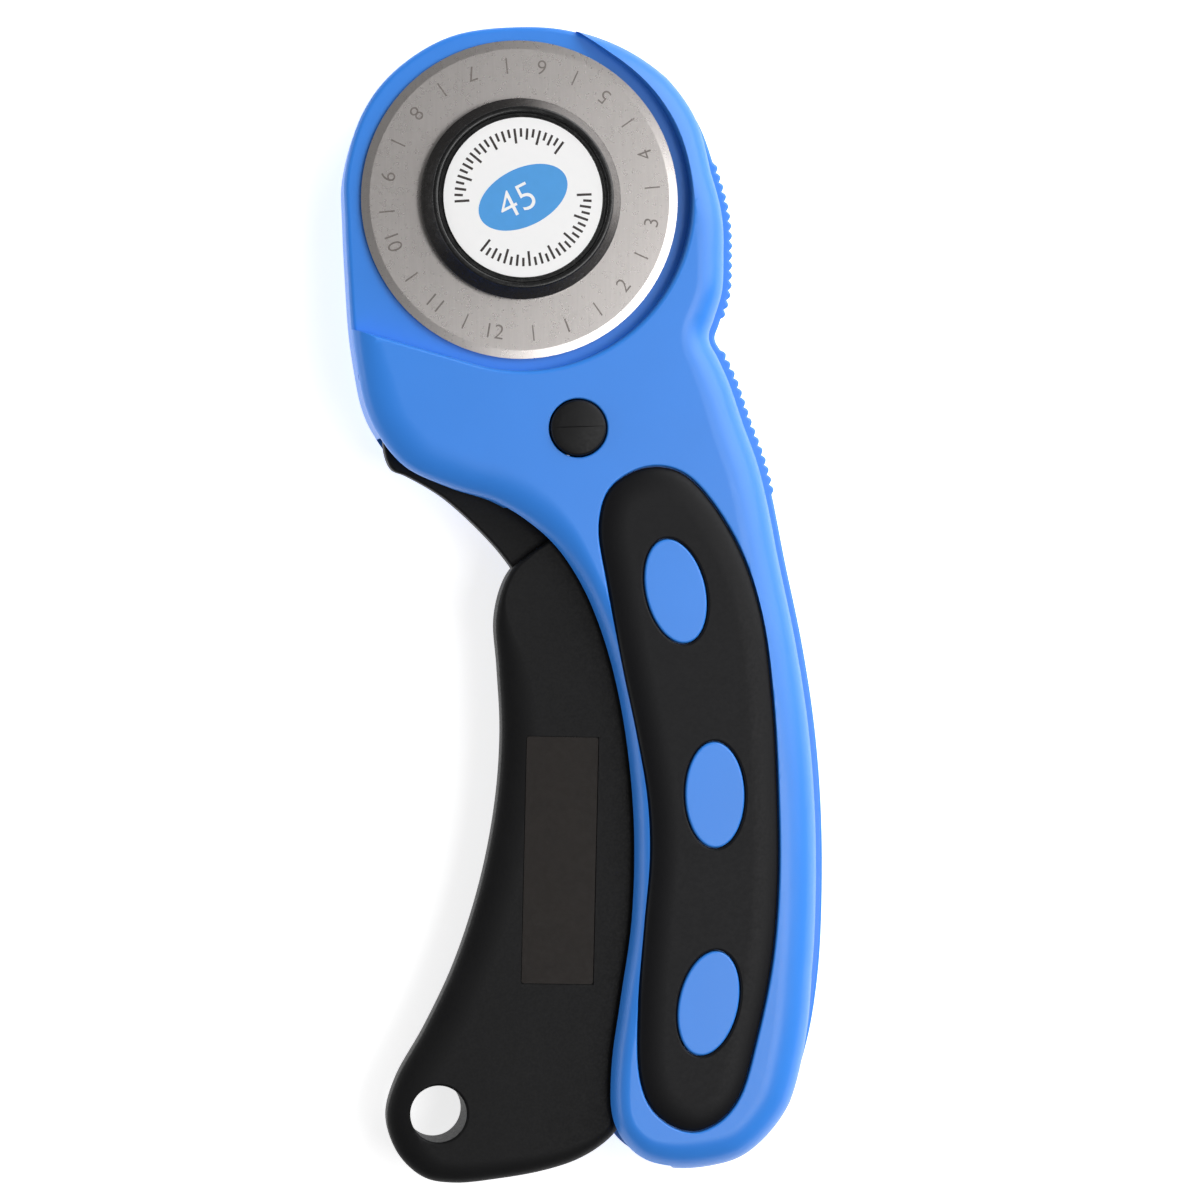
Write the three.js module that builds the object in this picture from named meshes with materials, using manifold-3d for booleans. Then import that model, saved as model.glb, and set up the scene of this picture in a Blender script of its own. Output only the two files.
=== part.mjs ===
// Squeeze-lever rotary cutter, lying on its back. Millimetres, +Z towards the face of the blade.
// The origin is on the blade's axis, in the plane the cutter rests on. +Y runs from the handle to the head.
// The lever turns about the pivot pin and carries the blade out past the left edge of the head.
import * as THREE from "three";
import { mergeVertices } from "three/addons/utils/BufferGeometryUtils.js";
import Module from "manifold-3d";

const wasm = await Module();
wasm.setup();

// Driving dimensions.
const gap = 0.3; // between pieces that touch
const joint = 0.5; // how far joined solids run into each other
const past = 1; // how far a cut runs beyond the face it opens
const bladeDiameter = 45;
const bladeThickness = 0.3;
const bladeBore = 8;
const edgeBevel = 1.2; // width of the ground cutting bevel
const edgeLand = 0.04; // what the grinding leaves of the edge
const bladeRise = 0.4; // from the recess floor to the blade
const neckDrop = 19.5; // from the blade's edge down to the neck
const gripLength = 95.4; // from the neck to the butt
const bodyThickness = 19; // rest plane to the front of the rubber
const gripProud = 0.6; // rubber above the shells
const wall = 2.2;
const shellRound = 3.2; // rounding of the shells' outer rims
const railWidth = 1.3; // the rib that stands out along the spine
const railHeight = 5.2;
const bladeClearance = 1.8; // from the blade's edge to the raised wall
const headRecess = 3.2; // depth of the blade recess
const recessRamp = 254.3; // degrees, where the recess leaves its circle at the left
const recessTip = 55; // degrees, where it leaves its circle at the top
const floorThickness = 2.2;
const ridgePitch = 1.43;
const ridgeHeight = 0.45;
const leverTravel = 10.5; // degrees
const leverThickness = 10;
const armThickness = 6;
const pinDiameter = 5;
const knobDiameter = 28.4;
const knobRim = 24.8;
const knobHeight = 4.2;
const knobBand = 1; // upright part of the knob's side
const knobLip = 0.2;
const labelDiameter = 22.5;
const labelMargin = 0.7;
const labelPocket = 0.8;
const studDiameter = 6;
const nutDiameter = 18;
const nutHeight = 5.1;
const nutChamfer = 0.6;
const nutFloor = 1.4;
const nutInsertWidth = 10;
const fluteCount = 8;
const fluteRadius = 2;
const fluteOffset = 1.2; // from the nut's edge out to a flute's centre
const nutClearance = 1; // between the nut and its slot in the rear shell
const nutRecessDiameter = 36;
const nutRecess = 2; // depth of the nut's recess in the rear shell
const washerRim = 1.4;
const washerSheet = 0.5;
const buttonDiameter = 7.9;
const buttonTravel = 2.8;
const lockDiameter = 4.4; // the part of the button that stops the lever
const buttonNeckDiameter = 3;
const buttonProud = 0.8;
const buttonWall = 1.2;
const rearButtonRadius = 3.4;
const buttonSeat = 1; // thickness of the rear cap under the stem
const ovalWidth = 8.5;
const ovalLength = 15;
const ovalStep = 0.1; // from the rubber's face down to the ovals
const gripInlay = 1.2; // depth of the rubber's pocket in a shell
const gripBacking = 1.3; // shell left under that pocket
const gripEdge = 0.2; // upright part of the rubber's edge
const screwDiameter = 2.2;
const screwHeadDiameter = 4;
const screwHeadHeight = 1.5;
const screwSunk = 0.6; // from the rear face to a screw's head
const screwWall = 0.7;
const crossWidth = 0.7;
const crossLength = 2.8;
const springWire = 1;
const springTurns = 1.75;
const springLeg = 9;
const stopRadius = 0.9;
const hangingHole = 8;
const plaqueWidth = 10.2;
const plaqueLength = 35;
const plaqueTilt = -1.3; // degrees
const filmThickness = 0.25;
const studFlats = 0.82; // width across the stud's flats, as a share of its diameter

// Heights that follow from them.
const bladeRadius = bladeDiameter / 2;
const middle = bodyThickness / 2;
const shellFront = bodyThickness - gripProud;
const headFloor = shellFront - headRecess;
const headCeiling = headFloor - floorThickness;
const gripCeiling = shellFront - gripInlay - gripBacking;
const armFront = middle + armThickness / 2;
const armRear = middle - armThickness / 2;
const leverFront = middle + leverThickness / 2;
const bladeRear = headFloor + bladeRise;
const bladeFront = bladeRear + bladeThickness;
const knobRear = bladeFront + gap;
const knobFront = knobRear + knobHeight;
const labelFloor = knobFront - labelPocket;
const behind = (height) => 2 * middle - height; // the same height on the other side of the parting plane
const rearFloor = behind(shellFront) + nutRecess;
const screwSeat = behind(shellFront) + screwHeadHeight + screwSunk;
const screwPilot = headCeiling - 0.2; // end of the screws' holes
const rearButtonLow = buttonTravel + 0.1;
const rearButtonHigh = armRear - 2 * gap;
const capRear = armFront + buttonTravel + gap;
const neckY = -(bladeRadius + neckDrop);

// A point beside the blade: its angle in degrees, and how far it lies outside the blade's edge.
const head = (angle, outside) => {
  const turn = THREE.MathUtils.degToRad(angle);
  const reach = bladeRadius + outside;
  return new THREE.Vector2(reach * Math.cos(turn), reach * Math.sin(turn));
};
// A point of the handle: its X, and its share of the way from the neck to the butt.
const grip = (x, share) => new THREE.Vector2(x, neckY - share * gripLength);

const pivot = head(256.1, 14.1);
const button = head(283.9, 10.8);
const hangingEye = grip(-11.4, 0.915);
const plaqueCentre = grip(5.85, 0.54);
const axis = new THREE.Vector2(0, 0);
const turned = (point, about, degrees) =>
  point.clone().rotateAround(about, THREE.MathUtils.degToRad(degrees));

// Booleans: a closed three.js geometry becomes a solid, and the finished solid a geometry again.
function solidOf(geometry, x = 0, y = 0, z = 0) {
  const plain = geometry.clone().translate(x, y, z);
  plain.deleteAttribute("normal");
  plain.deleteAttribute("uv");
  const merged = mergeVertices(plain, 1e-4);
  const vertProperties = new Float32Array(merged.attributes.position.array);
  const triVerts = new Uint32Array(merged.index.array);
  return new wasm.Manifold(new wasm.Mesh({ numProp: 3, vertProperties, triVerts }));
}
function geometryOf(solid) {
  const mesh = solid.getMesh();
  const geometry = new THREE.BufferGeometry();
  geometry.setAttribute("position", new THREE.BufferAttribute(mesh.vertProperties, 3));
  geometry.setIndex(new THREE.BufferAttribute(mesh.triVerts, 1));
  geometry.computeVertexNormals();
  return geometry;
}

// A plate of one outline between two heights. Its rim can be rounded in front or behind.
function plate(outline, low, high, round = 0, roundBehind = false) {
  const flat = { depth: high - low, bevelEnabled: false, curveSegments: 14 };
  if (!round) return solidOf(new THREE.ExtrudeGeometry(outline, flat), 0, 0, low);
  const thick = high - low;
  const rounded = new THREE.ExtrudeGeometry(outline, {
    depth: 2 * (thick - round),
    bevelThickness: round,
    bevelSize: round,
    bevelOffset: -round,
    bevelSegments: 3,
    curveSegments: 14,
  });
  const start = roundBehind ? low : low - thick;
  const slab = new THREE.BoxGeometry(400, 500, thick);
  return solidOf(rounded, 0, 0, start + round).intersect(solidOf(slab, 0, 0, (low + high) / 2));
}
const rod = (at, radius, low, high, sides = 28) => {
  const cylinder = new THREE.CylinderGeometry(radius, radius, high - low, sides).rotateX(Math.PI / 2);
  return solidOf(cylinder, at.x, at.y, (low + high) / 2);
};
// A turned piece: [radius, height] points that start and end on the axis, or close on themselves.
const turning = (profile, sides = 48) => {
  const points = profile.map(([radius, height]) => new THREE.Vector2(radius, height));
  return new THREE.LatheGeometry(points, sides).rotateX(Math.PI / 2);
};

// Outlines.
function smooth(points, stepsPerPoint = 3) {
  const lifted = points.map((point) => new THREE.Vector3(point.x, point.y, 0));
  const curve = new THREE.CatmullRomCurve3(lifted, true, "centripetal");
  return curve.getPoints(points.length * stepsPerPoint).slice(0, -1);
}
// Moves each point of a closed counter-clockwise line inwards by the distance given for it.
function inset(points, distanceAt) {
  return points.map((point, index) => {
    const before = points.at(index - 1);
    const after = points[(index + 1) % points.length];
    const along = new THREE.Vector2(after.x - before.x, after.y - before.y).normalize();
    const distance = distanceAt(index);
    return new THREE.Vector2(point.x - along.y * distance, point.y + along.x * distance);
  });
}
const shapeOf = (points) => new THREE.Shape(points);
const disc = (at, radius) => {
  const path = new THREE.Path().absarc(at.x, at.y, radius, 0, 2 * Math.PI);
  return shapeOf(path.getPoints(10));
};
// The area that a circle sweeps between two places.
function slot(from, to, radius) {
  const heading = Math.atan2(to.y - from.y, to.x - from.x);
  const shape = new THREE.Shape();
  shape.absarc(to.x, to.y, radius, heading - Math.PI / 2, heading + Math.PI / 2);
  shape.absarc(from.x, from.y, radius, heading + Math.PI / 2, heading + 1.5 * Math.PI);
  return shape;
}

// The silhouette, counter-clockwise from the top of the head: head, left edge, butt, spine.
const silhouette = [
  head(88, 2.15), head(113, 2.6), head(135, 2.85), head(152, 2.8), head(172, 2.5), head(187, 2.4),
  head(206, 4.5), head(218, 7.7), head(226.5, 10.9), head(233, 14), head(238.4, 16.2),
  head(246.6, 18.6), head(256.2, 19.4), head(266, 20.6),
  grip(3.7, 0.06), grip(8.2, 0.124), grip(11.8, 0.213), grip(14.5, 0.331), grip(16, 0.482),
  grip(15.7, 0.629), grip(14.1, 0.747), grip(12.8, 0.849), grip(13, 0.922), grip(14.8, 0.961),
  grip(17.8, 0.988), grip(22.4, 1), grip(27.5, 0.997), grip(31.8, 0.984), grip(35.6, 0.953),
  grip(38.9, 0.905), grip(41.8, 0.815), grip(43.4, 0.713), grip(44, 0.587), grip(43.8, 0.454),
  grip(42.8, 0.333), grip(41, 0.213), grip(38.6, 0.094),
  head(311.5, 32.9), head(314.1, 28.4), head(317.2, 22.9), head(321.3, 17.6), head(324.2, 13.9),
  head(325.9, 11.9), head(329.4, 11.3), head(336.8, 10.5), head(345.3, 9.1), head(356.2, 7.9),
  head(8.9, 6.5), head(25.1, 5.95), head(39.6, 4.9), head(55.1, 3.8), head(71.7, 2.8),
];
const outlineSteps = 3;
const spineStart = 29; // places in the silhouette where the rib along the spine begins and ends
const spineEnd = 49;
const lowerRidges = [37, 41.2];
const upperRidges = [43.2, 47.2];
const rim = smooth(silhouette, outlineSteps);
const placeOf = (index) => index / outlineSteps;
const ribShare = (place) => {
  const fromEnd = Math.min(place - spineStart, spineEnd - place);
  return THREE.MathUtils.clamp(fromEnd / 2, 0, 1);
};
const bodyRim = inset(rim, (index) => railWidth * ribShare(placeOf(index)));
const cavityRim = inset(bodyRim, () => wall);

// The spine's rim with its rows of small ridges.
function ridgedRim() {
  const lifted = silhouette.map((point) => new THREE.Vector3(point.x, point.y, 0));
  const curve = new THREE.CatmullRomCurve3(lifted, true, "centripetal");
  const row = ([first, last]) => {
    const places = [];
    for (let place = first; place < last; place += 0.01) {
      places.push(curve.getPoint(place / silhouette.length));
    }
    const line = new THREE.CatmullRomCurve3(places);
    const count = Math.round(line.getLength() / ridgePitch);
    const points = [];
    for (let step = 0; step < 4 * count; step += 1) {
      const at = line.getPointAt(step / (4 * count));
      const along = line.getTangentAt(step / (4 * count));
      const rise = ridgeHeight * Math.sin((Math.PI * (step % 4)) / 4);
      points.push(new THREE.Vector3(at.x + along.y * rise, at.y - along.x * rise, 0));
    }
    return points;
  };
  const between = (low, high) => {
    return rim.filter((point, index) => placeOf(index) >= low && placeOf(index) < high);
  };
  return [
    ...between(0, lowerRidges[0]),
    ...row(lowerRidges),
    ...between(lowerRidges[1], upperRidges[0]),
    ...row(upperRidges),
    ...between(upperRidges[1], silhouette.length),
  ];
}

// The recess that the blade lies in: round at the lower right, open at the left and at the top.
function recess(grow) {
  const radius = bladeRadius + bladeClearance + grow;
  const rampTurn = THREE.MathUtils.degToRad(recessRamp);
  const tipTurn = THREE.MathUtils.degToRad(recessTip);
  const far = 3 * bladeRadius;
  const shape = new THREE.Shape();
  const tangent = (turn, distance) => [
    radius * Math.cos(turn) - distance * Math.sin(turn),
    radius * Math.sin(turn) + distance * Math.cos(turn),
  ];
  shape.moveTo(...tangent(rampTurn, -far));
  shape.lineTo(...tangent(rampTurn, 0));
  shape.absarc(0, 0, radius, rampTurn, tipTurn + 2 * Math.PI);
  shape.lineTo(...tangent(tipTurn, far));
  shape.closePath();
  return shape;
}

const insertRim = smooth([
  grip(10.9, 0.042), grip(12.3, -0.01), grip(15.8, -0.038), grip(19.3, -0.046), grip(22.8, -0.037),
  grip(26.1, -0.007), grip(31.1, 0.075), grip(34.3, 0.175), grip(35.9, 0.302), grip(36.6, 0.44),
  grip(36.7, 0.569), grip(35.8, 0.689), grip(33.5, 0.807), grip(31, 0.893), grip(28.2, 0.928),
  grip(24.7, 0.943), grip(21.3, 0.934), grip(18.3, 0.906), grip(16.7, 0.86), grip(16.5, 0.755),
  grip(17.4, 0.634), grip(18.2, 0.535), grip(17.9, 0.451), grip(16.5, 0.361), grip(14.2, 0.246),
  grip(12.1, 0.131),
].reverse(), 2);
const ovals = [
  { centre: grip(21.8, 0.14), tilt: 13.3 },
  { centre: grip(27.4, 0.442), tilt: 1 },
  { centre: grip(26.5, 0.751), tilt: -12.3 },
];
const ovalShape = ({ centre, tilt }, grow) => {
  const turn = THREE.MathUtils.degToRad(tilt);
  const [across, along] = [ovalWidth / 2 + grow, ovalLength / 2 + grow];
  const path = new THREE.Path().absellipse(centre.x, centre.y, across, along, 0, 2 * Math.PI, false, turn);
  return shapeOf(path.getPoints(7));
};

// Screws hold the two shells together, clear of the lever's whole sweep.
const screws = [
  head(8, 3), head(135, -1), head(308.7, 16), grip(37.3, 0.22), grip(39.5, 0.555), grip(36.3, 0.835),
];

const travelled = turned(axis, pivot, leverTravel);
const boltBossRadius = bladeBore / 2 + 2;

// Where the lever leaves the shells: the side wall is open for the thin arm under the head, and for the
// squeezed part from the neck to the butt. At the rear the return spring also reaches into the arm's opening.
const armExit = shapeOf([
  head(239.9, 13.4), head(238.2, 17.4), head(232, 43), grip(-40, 0.2), grip(10, 0.2), grip(10, 0),
  head(259, 9.5),
]);
const squeezedExit = shapeOf([
  grip(-40, 0.016), grip(-40, 1.5), grip(22, 1.5), grip(22, 0.9), grip(20, 0.3), grip(12, 0.016),
]);

// One shell before its own openings. Heights are those of the front shell; the rear one is its reflection.
function shell(isRear) {
  const span = (low, high) => (isRear ? [behind(high), behind(low)] : [low, high]);
  const parting = middle + gap / 2;
  let body = plate(shapeOf(bodyRim), ...span(parting, shellFront), shellRound, isRear);
  body = body.add(plate(shapeOf(ridgedRim()), ...span(parting, middle + railHeight / 2)));
  let hollow = plate(shapeOf(cavityRim), ...span(parting - past, gripCeiling));
  hollow = hollow.add(plate(squeezedExit, ...span(parting - past, gripCeiling)));
  hollow = hollow.add(plate(armExit, ...span(parting - past, isRear ? gripCeiling : armFront + gap)));
  if (!isRear) hollow = hollow.subtract(plate(recess(wall), headCeiling, shellFront));
  body = body.subtract(hollow);
  for (const at of screws) {
    const boss = rod(at, screwHeadDiameter / 2 + screwWall, ...span(parting, gripCeiling + joint), 20);
    body = body.add(boss.intersect(plate(shapeOf(bodyRim), ...span(parting, gripCeiling + joint))));
  }
  const pocket = plate(shapeOf(insertRim), ...span(shellFront - gripInlay, shellFront + past));
  body = body.subtract(pocket);
  for (const oval of ovals) {
    const faces = span(shellFront - gripInlay - joint, bodyThickness - ovalStep);
    body = body.add(plate(ovalShape(oval, 0), ...faces));
  }
  const post = rod(pivot, pinDiameter / 2 + wall, ...span(armFront + gap, gripCeiling + joint));
  const socket = rod(pivot, (pinDiameter + gap) / 2, ...span(armFront, gripCeiling), 24);
  return body.add(post).subtract(socket);
}

function frontShell() {
  let body = shell(false);
  body = body.subtract(plate(recess(0), headFloor, shellFront + past));
  body = body.subtract(plate(slot(axis, travelled, boltBossRadius + gap), middle, shellFront));
  body = body.subtract(rod(button, buttonDiameter / 2 + gap, middle, shellFront + past));
  for (const at of screws) {
    body = body.subtract(rod(at, (screwDiameter + gap) / 2, middle, screwPilot, 12));
  }
  return body;
}

function rearShell() {
  let body = shell(true);
  const recessRadius = nutRecessDiameter / 2;
  const inside = behind(gripCeiling);
  body = body.add(plate(disc(axis, recessRadius + wall), behind(shellFront), rearFloor + floorThickness));
  body = body.subtract(plate(disc(axis, recessRadius), -past, rearFloor));
  body = body.subtract(plate(slot(axis, travelled, nutDiameter / 2 + nutClearance), -past, middle));
  body = body.add(rod(button, rearButtonRadius + gap + buttonWall, inside - joint, armRear - gap));
  body = body.add(rod(shellStop, stopRadius, inside - joint, inside + 2 * springWire, 12));
  body = body.subtract(rod(button, rearButtonRadius + gap, -past, middle));
  for (const at of screws) {
    body = body.subtract(rod(at, (screwDiameter + gap) / 2, -past, middle, 12));
    body = body.subtract(rod(at, screwHeadDiameter / 2 + gap, -past, screwSeat, 20));
  }
  return body;
}

function gripInsert(isRear) {
  const outline = inset(insertRim, () => gap);
  const inner = shellFront - gripInlay + gap;
  const [low, high] = isRear ? [0, behind(inner)] : [inner, bodyThickness];
  let pad = plate(shapeOf(outline), low, high, high - low - gripEdge, isRear);
  for (const oval of ovals) pad = pad.subtract(plate(ovalShape(oval, gap), low - past, high + past));
  return pad;
}

// The lever: a thick squeezed part, and a thinner arm that reaches up between the shells to the bolt.
const squeezedRim = [
  grip(3.65, 0.07), grip(1.2, 0.088), grip(-0.9, 0.107), grip(-2.3, 0.136), grip(-3.2, 0.183),
  grip(-2.75, 0.252), grip(-2.3, 0.348), grip(-3, 0.454), grip(-5.2, 0.574), grip(-8.9, 0.694),
  grip(-13.2, 0.789),
  grip(-17.2, 0.863), grip(-18.6, 0.912), grip(-18.3, 0.943), grip(-16.6, 0.981), grip(-13.2, 1.011),
  grip(-9, 1.019), grip(-3, 1.014), grip(3.5, 1.003), grip(8.5, 0.987), grip(12.2, 0.964),
  grip(14.3, 0.941), grip(15.3, 0.901), grip(15.8, 0.818), grip(16.8, 0.713), grip(18.2, 0.587),
  grip(18.4, 0.482), grip(17.6, 0.377), grip(15.6, 0.273), grip(12.6, 0.168), grip(9.4, 0.095),
  grip(6.5, 0.055),
];
const armRim = [
  grip(9, 0.16), grip(14, 0.03), head(293.3, 14.9), head(303, 3.5), head(325, -7.5),
  head(0, -11.5), head(45, -11.5), head(90, -11.5), head(135, -11.5), head(180, -11.5), head(219, -7),
  head(231.5, 2), head(237.6, 9.2), head(239.8, 12.7), head(239.4, 16.7), head(241.2, 18.8),
  head(245, 20.2), head(248, 20), head(256, 21.1), grip(-4.05, 0.063), grip(-0.9, 0.103), grip(2.5, 0.16),
];
function lever() {
  let body = plate(shapeOf(smooth(squeezedRim, 2)), behind(leverFront), leverFront);
  body = body.add(plate(shapeOf(smooth(armRim, 2)), armRear, armFront));
  body = body.add(rod(axis, boltBossRadius, middle, bladeRear - gap));
  body = body.add(rod(leverStop, stopRadius, armRear - 1.5 * springWire, middle, 12));
  body = body.subtract(plate(studShape(gap), 0, bodyThickness));
  body = body.subtract(rod(pivot, (pinDiameter + gap) / 2, 0, bodyThickness, 24));
  body = body.subtract(rod(hangingEye, hangingHole / 2, 0, bodyThickness, 32));
  const locked = turned(button, pivot, -leverTravel);
  for (const at of [button, locked]) {
    body = body.subtract(rod(at, (lockDiameter + gap) / 2, 0, bodyThickness, 24));
  }
  body = body.subtract(plate(slot(button, locked, buttonNeckDiameter / 2 + gap), 0, bodyThickness));
  return body.subtract(plaque(gap / 2, leverFront - filmThickness - gap, leverFront + past));
}
function plaque(grow, low, high) {
  const film = new THREE.BoxGeometry(plaqueWidth + 2 * grow, plaqueLength + 2 * grow, high - low);
  film.rotateZ(THREE.MathUtils.degToRad(plaqueTilt));
  return solidOf(film, plaqueCentre.x, plaqueCentre.y, (low + high) / 2);
}

// The stud has two flats, so that it can't turn in the lever.
function studShape(grow) {
  const radius = studDiameter / 2 + grow;
  const turn = Math.acos((studFlats * (studDiameter / 2) + grow) / radius);
  const shape = new THREE.Shape();
  shape.absarc(0, 0, radius, turn, Math.PI - turn);
  shape.absarc(0, 0, radius, Math.PI + turn, 2 * Math.PI - turn);
  return shape;
}

// Bolt: a moulded head that holds the blade down, and a steel stud through the lever.
function boltHead() {
  const shoulder = bladeBore / 2 - gap;
  const socket = studDiameter / 2 + gap;
  const outer = knobDiameter / 2;
  const inner = knobRim / 2;
  const pocket = labelDiameter / 2 + labelMargin;
  const stop = knobRear + knobHeight / 2;
  const tip = bladeRear - gap / 3;
  return turning([
    [0, stop], [socket, stop], [socket, tip], [shoulder, tip], [shoulder, knobRear], [outer, knobRear],
    [outer, knobRear + knobBand], [inner + 2 * knobLip, knobFront - knobLip], [inner, knobFront],
    [pocket, knobFront], [pocket - gap, labelFloor], [0, labelFloor],
  ]);
}
const boltLabel = () => {
  const low = labelFloor + gap / 2;
  const high = low + filmThickness;
  return turning([[0, low], [labelDiameter / 2, low], [labelDiameter / 2, high], [0, high]]);
};
const boltStud = () => plate(studShape(0), nutFloor + gap, knobRear + knobHeight / 2 - gap);

function blade() {
  const centre = (bladeRear + bladeFront) / 2;
  const edge = bladeRadius - edgeBevel;
  const bore = bladeBore / 2;
  return turning([
    [bore, bladeRear], [edge, bladeRear], [bladeRadius, centre - edgeLand / 2],
    [bladeRadius, centre + edgeLand / 2], [edge, bladeFront], [bore, bladeFront], [bore, bladeRear],
  ], 72);
}

// Rear nut: a fluted cap with a steel insert, and a cone washer between the insert and the lever.
function nutKnob() {
  const radius = nutDiameter / 2;
  const cap = turning([
    [0, 0], [radius - nutChamfer, 0], [radius, nutChamfer], [radius, nutHeight - nutChamfer],
    [radius - nutChamfer, nutHeight], [0, nutHeight],
  ], 40);
  let body = solidOf(cap);
  for (let index = 0; index < fluteCount; index += 1) {
    const flute = turned(new THREE.Vector2(radius + fluteOffset, 0), axis, (360 / fluteCount) * index);
    body = body.subtract(rod(flute, fluteRadius, -past, nutHeight + past, 16));
  }
  const cornerRadius = nutInsertWidth / Math.sqrt(3) + gap;
  return body.subtract(rod(axis, cornerRadius, nutFloor, nutHeight + past, 6));
}
function nutInsert() {
  const hexagon = rod(axis, nutInsertWidth / Math.sqrt(3), nutFloor + gap, nutHeight, 6);
  return hexagon.subtract(rod(axis, studDiameter / 2 + gap, 0, nutHeight + past, 24));
}
const springWasher = () => {
  const low = nutHeight + gap / 2;
  const high = armRear - gap / 2;
  const inner = studDiameter / 2 + gap;
  const outer = nutInsertWidth / 2 + washerRim;
  return turning([
    [inner, high - washerSheet], [outer, low], [outer, low + washerSheet], [inner, high],
    [inner, high - washerSheet],
  ], 32);
};

// Lock button: the front cap with its stem, and the rear cap pressed on the stem's end.
function lockButton() {
  const cap = buttonDiameter / 2;
  const top = shellFront + buttonProud;
  const neck = buttonNeckDiameter / 2;
  const lock = lockDiameter / 2;
  const foot = rearButtonLow + buttonSeat;
  return turning([
    [0, foot], [neck, foot], [neck, armFront + gap], [lock, armFront + gap], [lock, capRear], [cap, capRear],
    [cap, top - 0.7], [cap - 0.6, top - 0.2], [cap / 2, top - 0.05], [0, top],
  ], 32).translate(button.x, button.y, 0);
}
function lockButtonRear() {
  const socket = buttonNeckDiameter / 2 + gap;
  const seat = rearButtonLow + buttonSeat - gap;
  return turning([
    [0, rearButtonLow], [rearButtonRadius - 0.4, rearButtonLow], [rearButtonRadius, rearButtonLow + 0.4],
    [rearButtonRadius, rearButtonHigh], [socket, rearButtonHigh], [socket, seat], [0, seat],
  ], 28).translate(button.x, button.y, 0);
}

const pivotPin = () => {
  const length = gripCeiling - behind(gripCeiling) - 2 * gap;
  const pin = new THREE.CylinderGeometry(pinDiameter / 2, pinDiameter / 2, length, 28).rotateX(Math.PI / 2);
  return pin.translate(pivot.x, pivot.y, middle);
};

// Torsion spring round the rear pivot post. One leg leans on a stop of the rear shell, one on the lever.
const springRadius = pinDiameter / 2 + wall + gap + springWire / 2;
const stopOffset = springWire / 2 + gap + stopRadius;
const shellStop = new THREE.Vector2(pivot.x + springRadius - stopOffset, pivot.y + springLeg - stopRadius);
const leverStop = new THREE.Vector2(pivot.x + springLeg - stopRadius, pivot.y + springRadius - stopOffset);
function returnSpring() {
  const low = behind(gripCeiling) + gap + springWire / 2;
  const high = armRear - gap - springWire / 2;
  const stepsPerTurn = 14;
  const steps = Math.round(springTurns * stepsPerTurn);
  const points = [];
  for (let step = 0; step <= steps; step += 1) {
    const turn = (-2 * Math.PI * step) / stepsPerTurn;
    const height = THREE.MathUtils.lerp(low, high, step / steps);
    const x = pivot.x + springRadius * Math.cos(turn);
    points.push(new THREE.Vector3(x, pivot.y + springRadius * Math.sin(turn), height));
  }
  const first = points[0];
  const last = points.at(-1);
  points.unshift(new THREE.Vector3(first.x, first.y + springLeg, first.z));
  points.push(new THREE.Vector3(last.x + springLeg, last.y, last.z));
  const path = new THREE.CatmullRomCurve3(points, false, "centripetal");
  const section = new THREE.Shape();
  section.absarc(0, 0, springWire / 2, 0, 2 * Math.PI);
  return new THREE.ExtrudeGeometry(section, {
    steps: 2 * steps,
    curveSegments: 3,
    extrudePath: path,
    bevelEnabled: false,
  });
}

function shellScrew(at) {
  const headTop = screwSeat - gap;
  const tip = headCeiling - 1;
  const headRadius = screwHeadDiameter / 2;
  const low = headTop - screwHeadHeight;
  const turnedPart = turning([
    [0, low], [headRadius - 0.5, low], [headRadius, low + 0.5], [headRadius, headTop],
    [screwDiameter / 2, headTop], [screwDiameter / 2, tip - 1], [0, tip],
  ], 16).translate(at.x, at.y, 0);
  let screw = solidOf(turnedPart);
  for (const size of [[crossWidth, crossLength], [crossLength, crossWidth]]) {
    screw = screw.subtract(solidOf(new THREE.BoxGeometry(...size, 2), at.x, at.y, low));
  }
  return screw;
}

// Finishes.
const finish = (color, roughness, metalness = 0) => ({ color, roughness, metalness });
const bluePlastic = finish(0x3f86e0, 0.42);
const blackPlastic = finish(0x1c1c1d, 0.6);
const glossBlack = finish(0x141415, 0.3);
const rubber = finish(0x222223, 0.75);
const groundSteel = finish(0xa9a6a2, 0.35, 1);
const platedSteel = finish(0xb8b8ba, 0.4, 1);
const paper = finish(0xf4f4f6, 0.6);
const film = finish(0x2a231e, 0.5);

const cutter = new THREE.Group();
function place(name, made, look) {
  const geometry = made.isBufferGeometry ? made : geometryOf(made);
  const mesh = new THREE.Mesh(geometry, new THREE.MeshStandardMaterial(look));
  mesh.name = name;
  cutter.add(mesh);
}

place("front_shell", frontShell(), bluePlastic);
place("rear_shell", rearShell(), bluePlastic);
place("front_grip", gripInsert(false), rubber);
place("rear_grip", gripInsert(true), rubber);
place("lever", lever(), blackPlastic);
place("lever_plaque", plaque(0, leverFront - filmThickness, leverFront), film);
place("pivot_pin", pivotPin(), platedSteel);
place("return_spring", returnSpring(), platedSteel);
place("lock_button", lockButton(), blackPlastic);
place("lock_button_rear", lockButtonRear(), blackPlastic);
place("blade", blade(), groundSteel);
place("bolt_head", boltHead(), glossBlack);
place("bolt_stud", boltStud(), platedSteel);
place("bolt_label", boltLabel(), paper);
place("spring_washer", springWasher(), platedSteel);
place("nut_knob", nutKnob(), glossBlack);
place("nut_insert", nutInsert(), platedSteel);
screws.forEach((at, index) => place(`shell_screw_${index + 1}`, shellScrew(at), platedSteel));

export default cutter;
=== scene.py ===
"""Squeeze-lever rotary cutter, lying on its back, built round its CAD model.

Metres, +Z towards the face of the blade. The blade's axis stands on the origin, and +Y runs from the handle
to the head. Outlines and heights are worked out in millimetres, and object_of makes them metres.
"""

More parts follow.
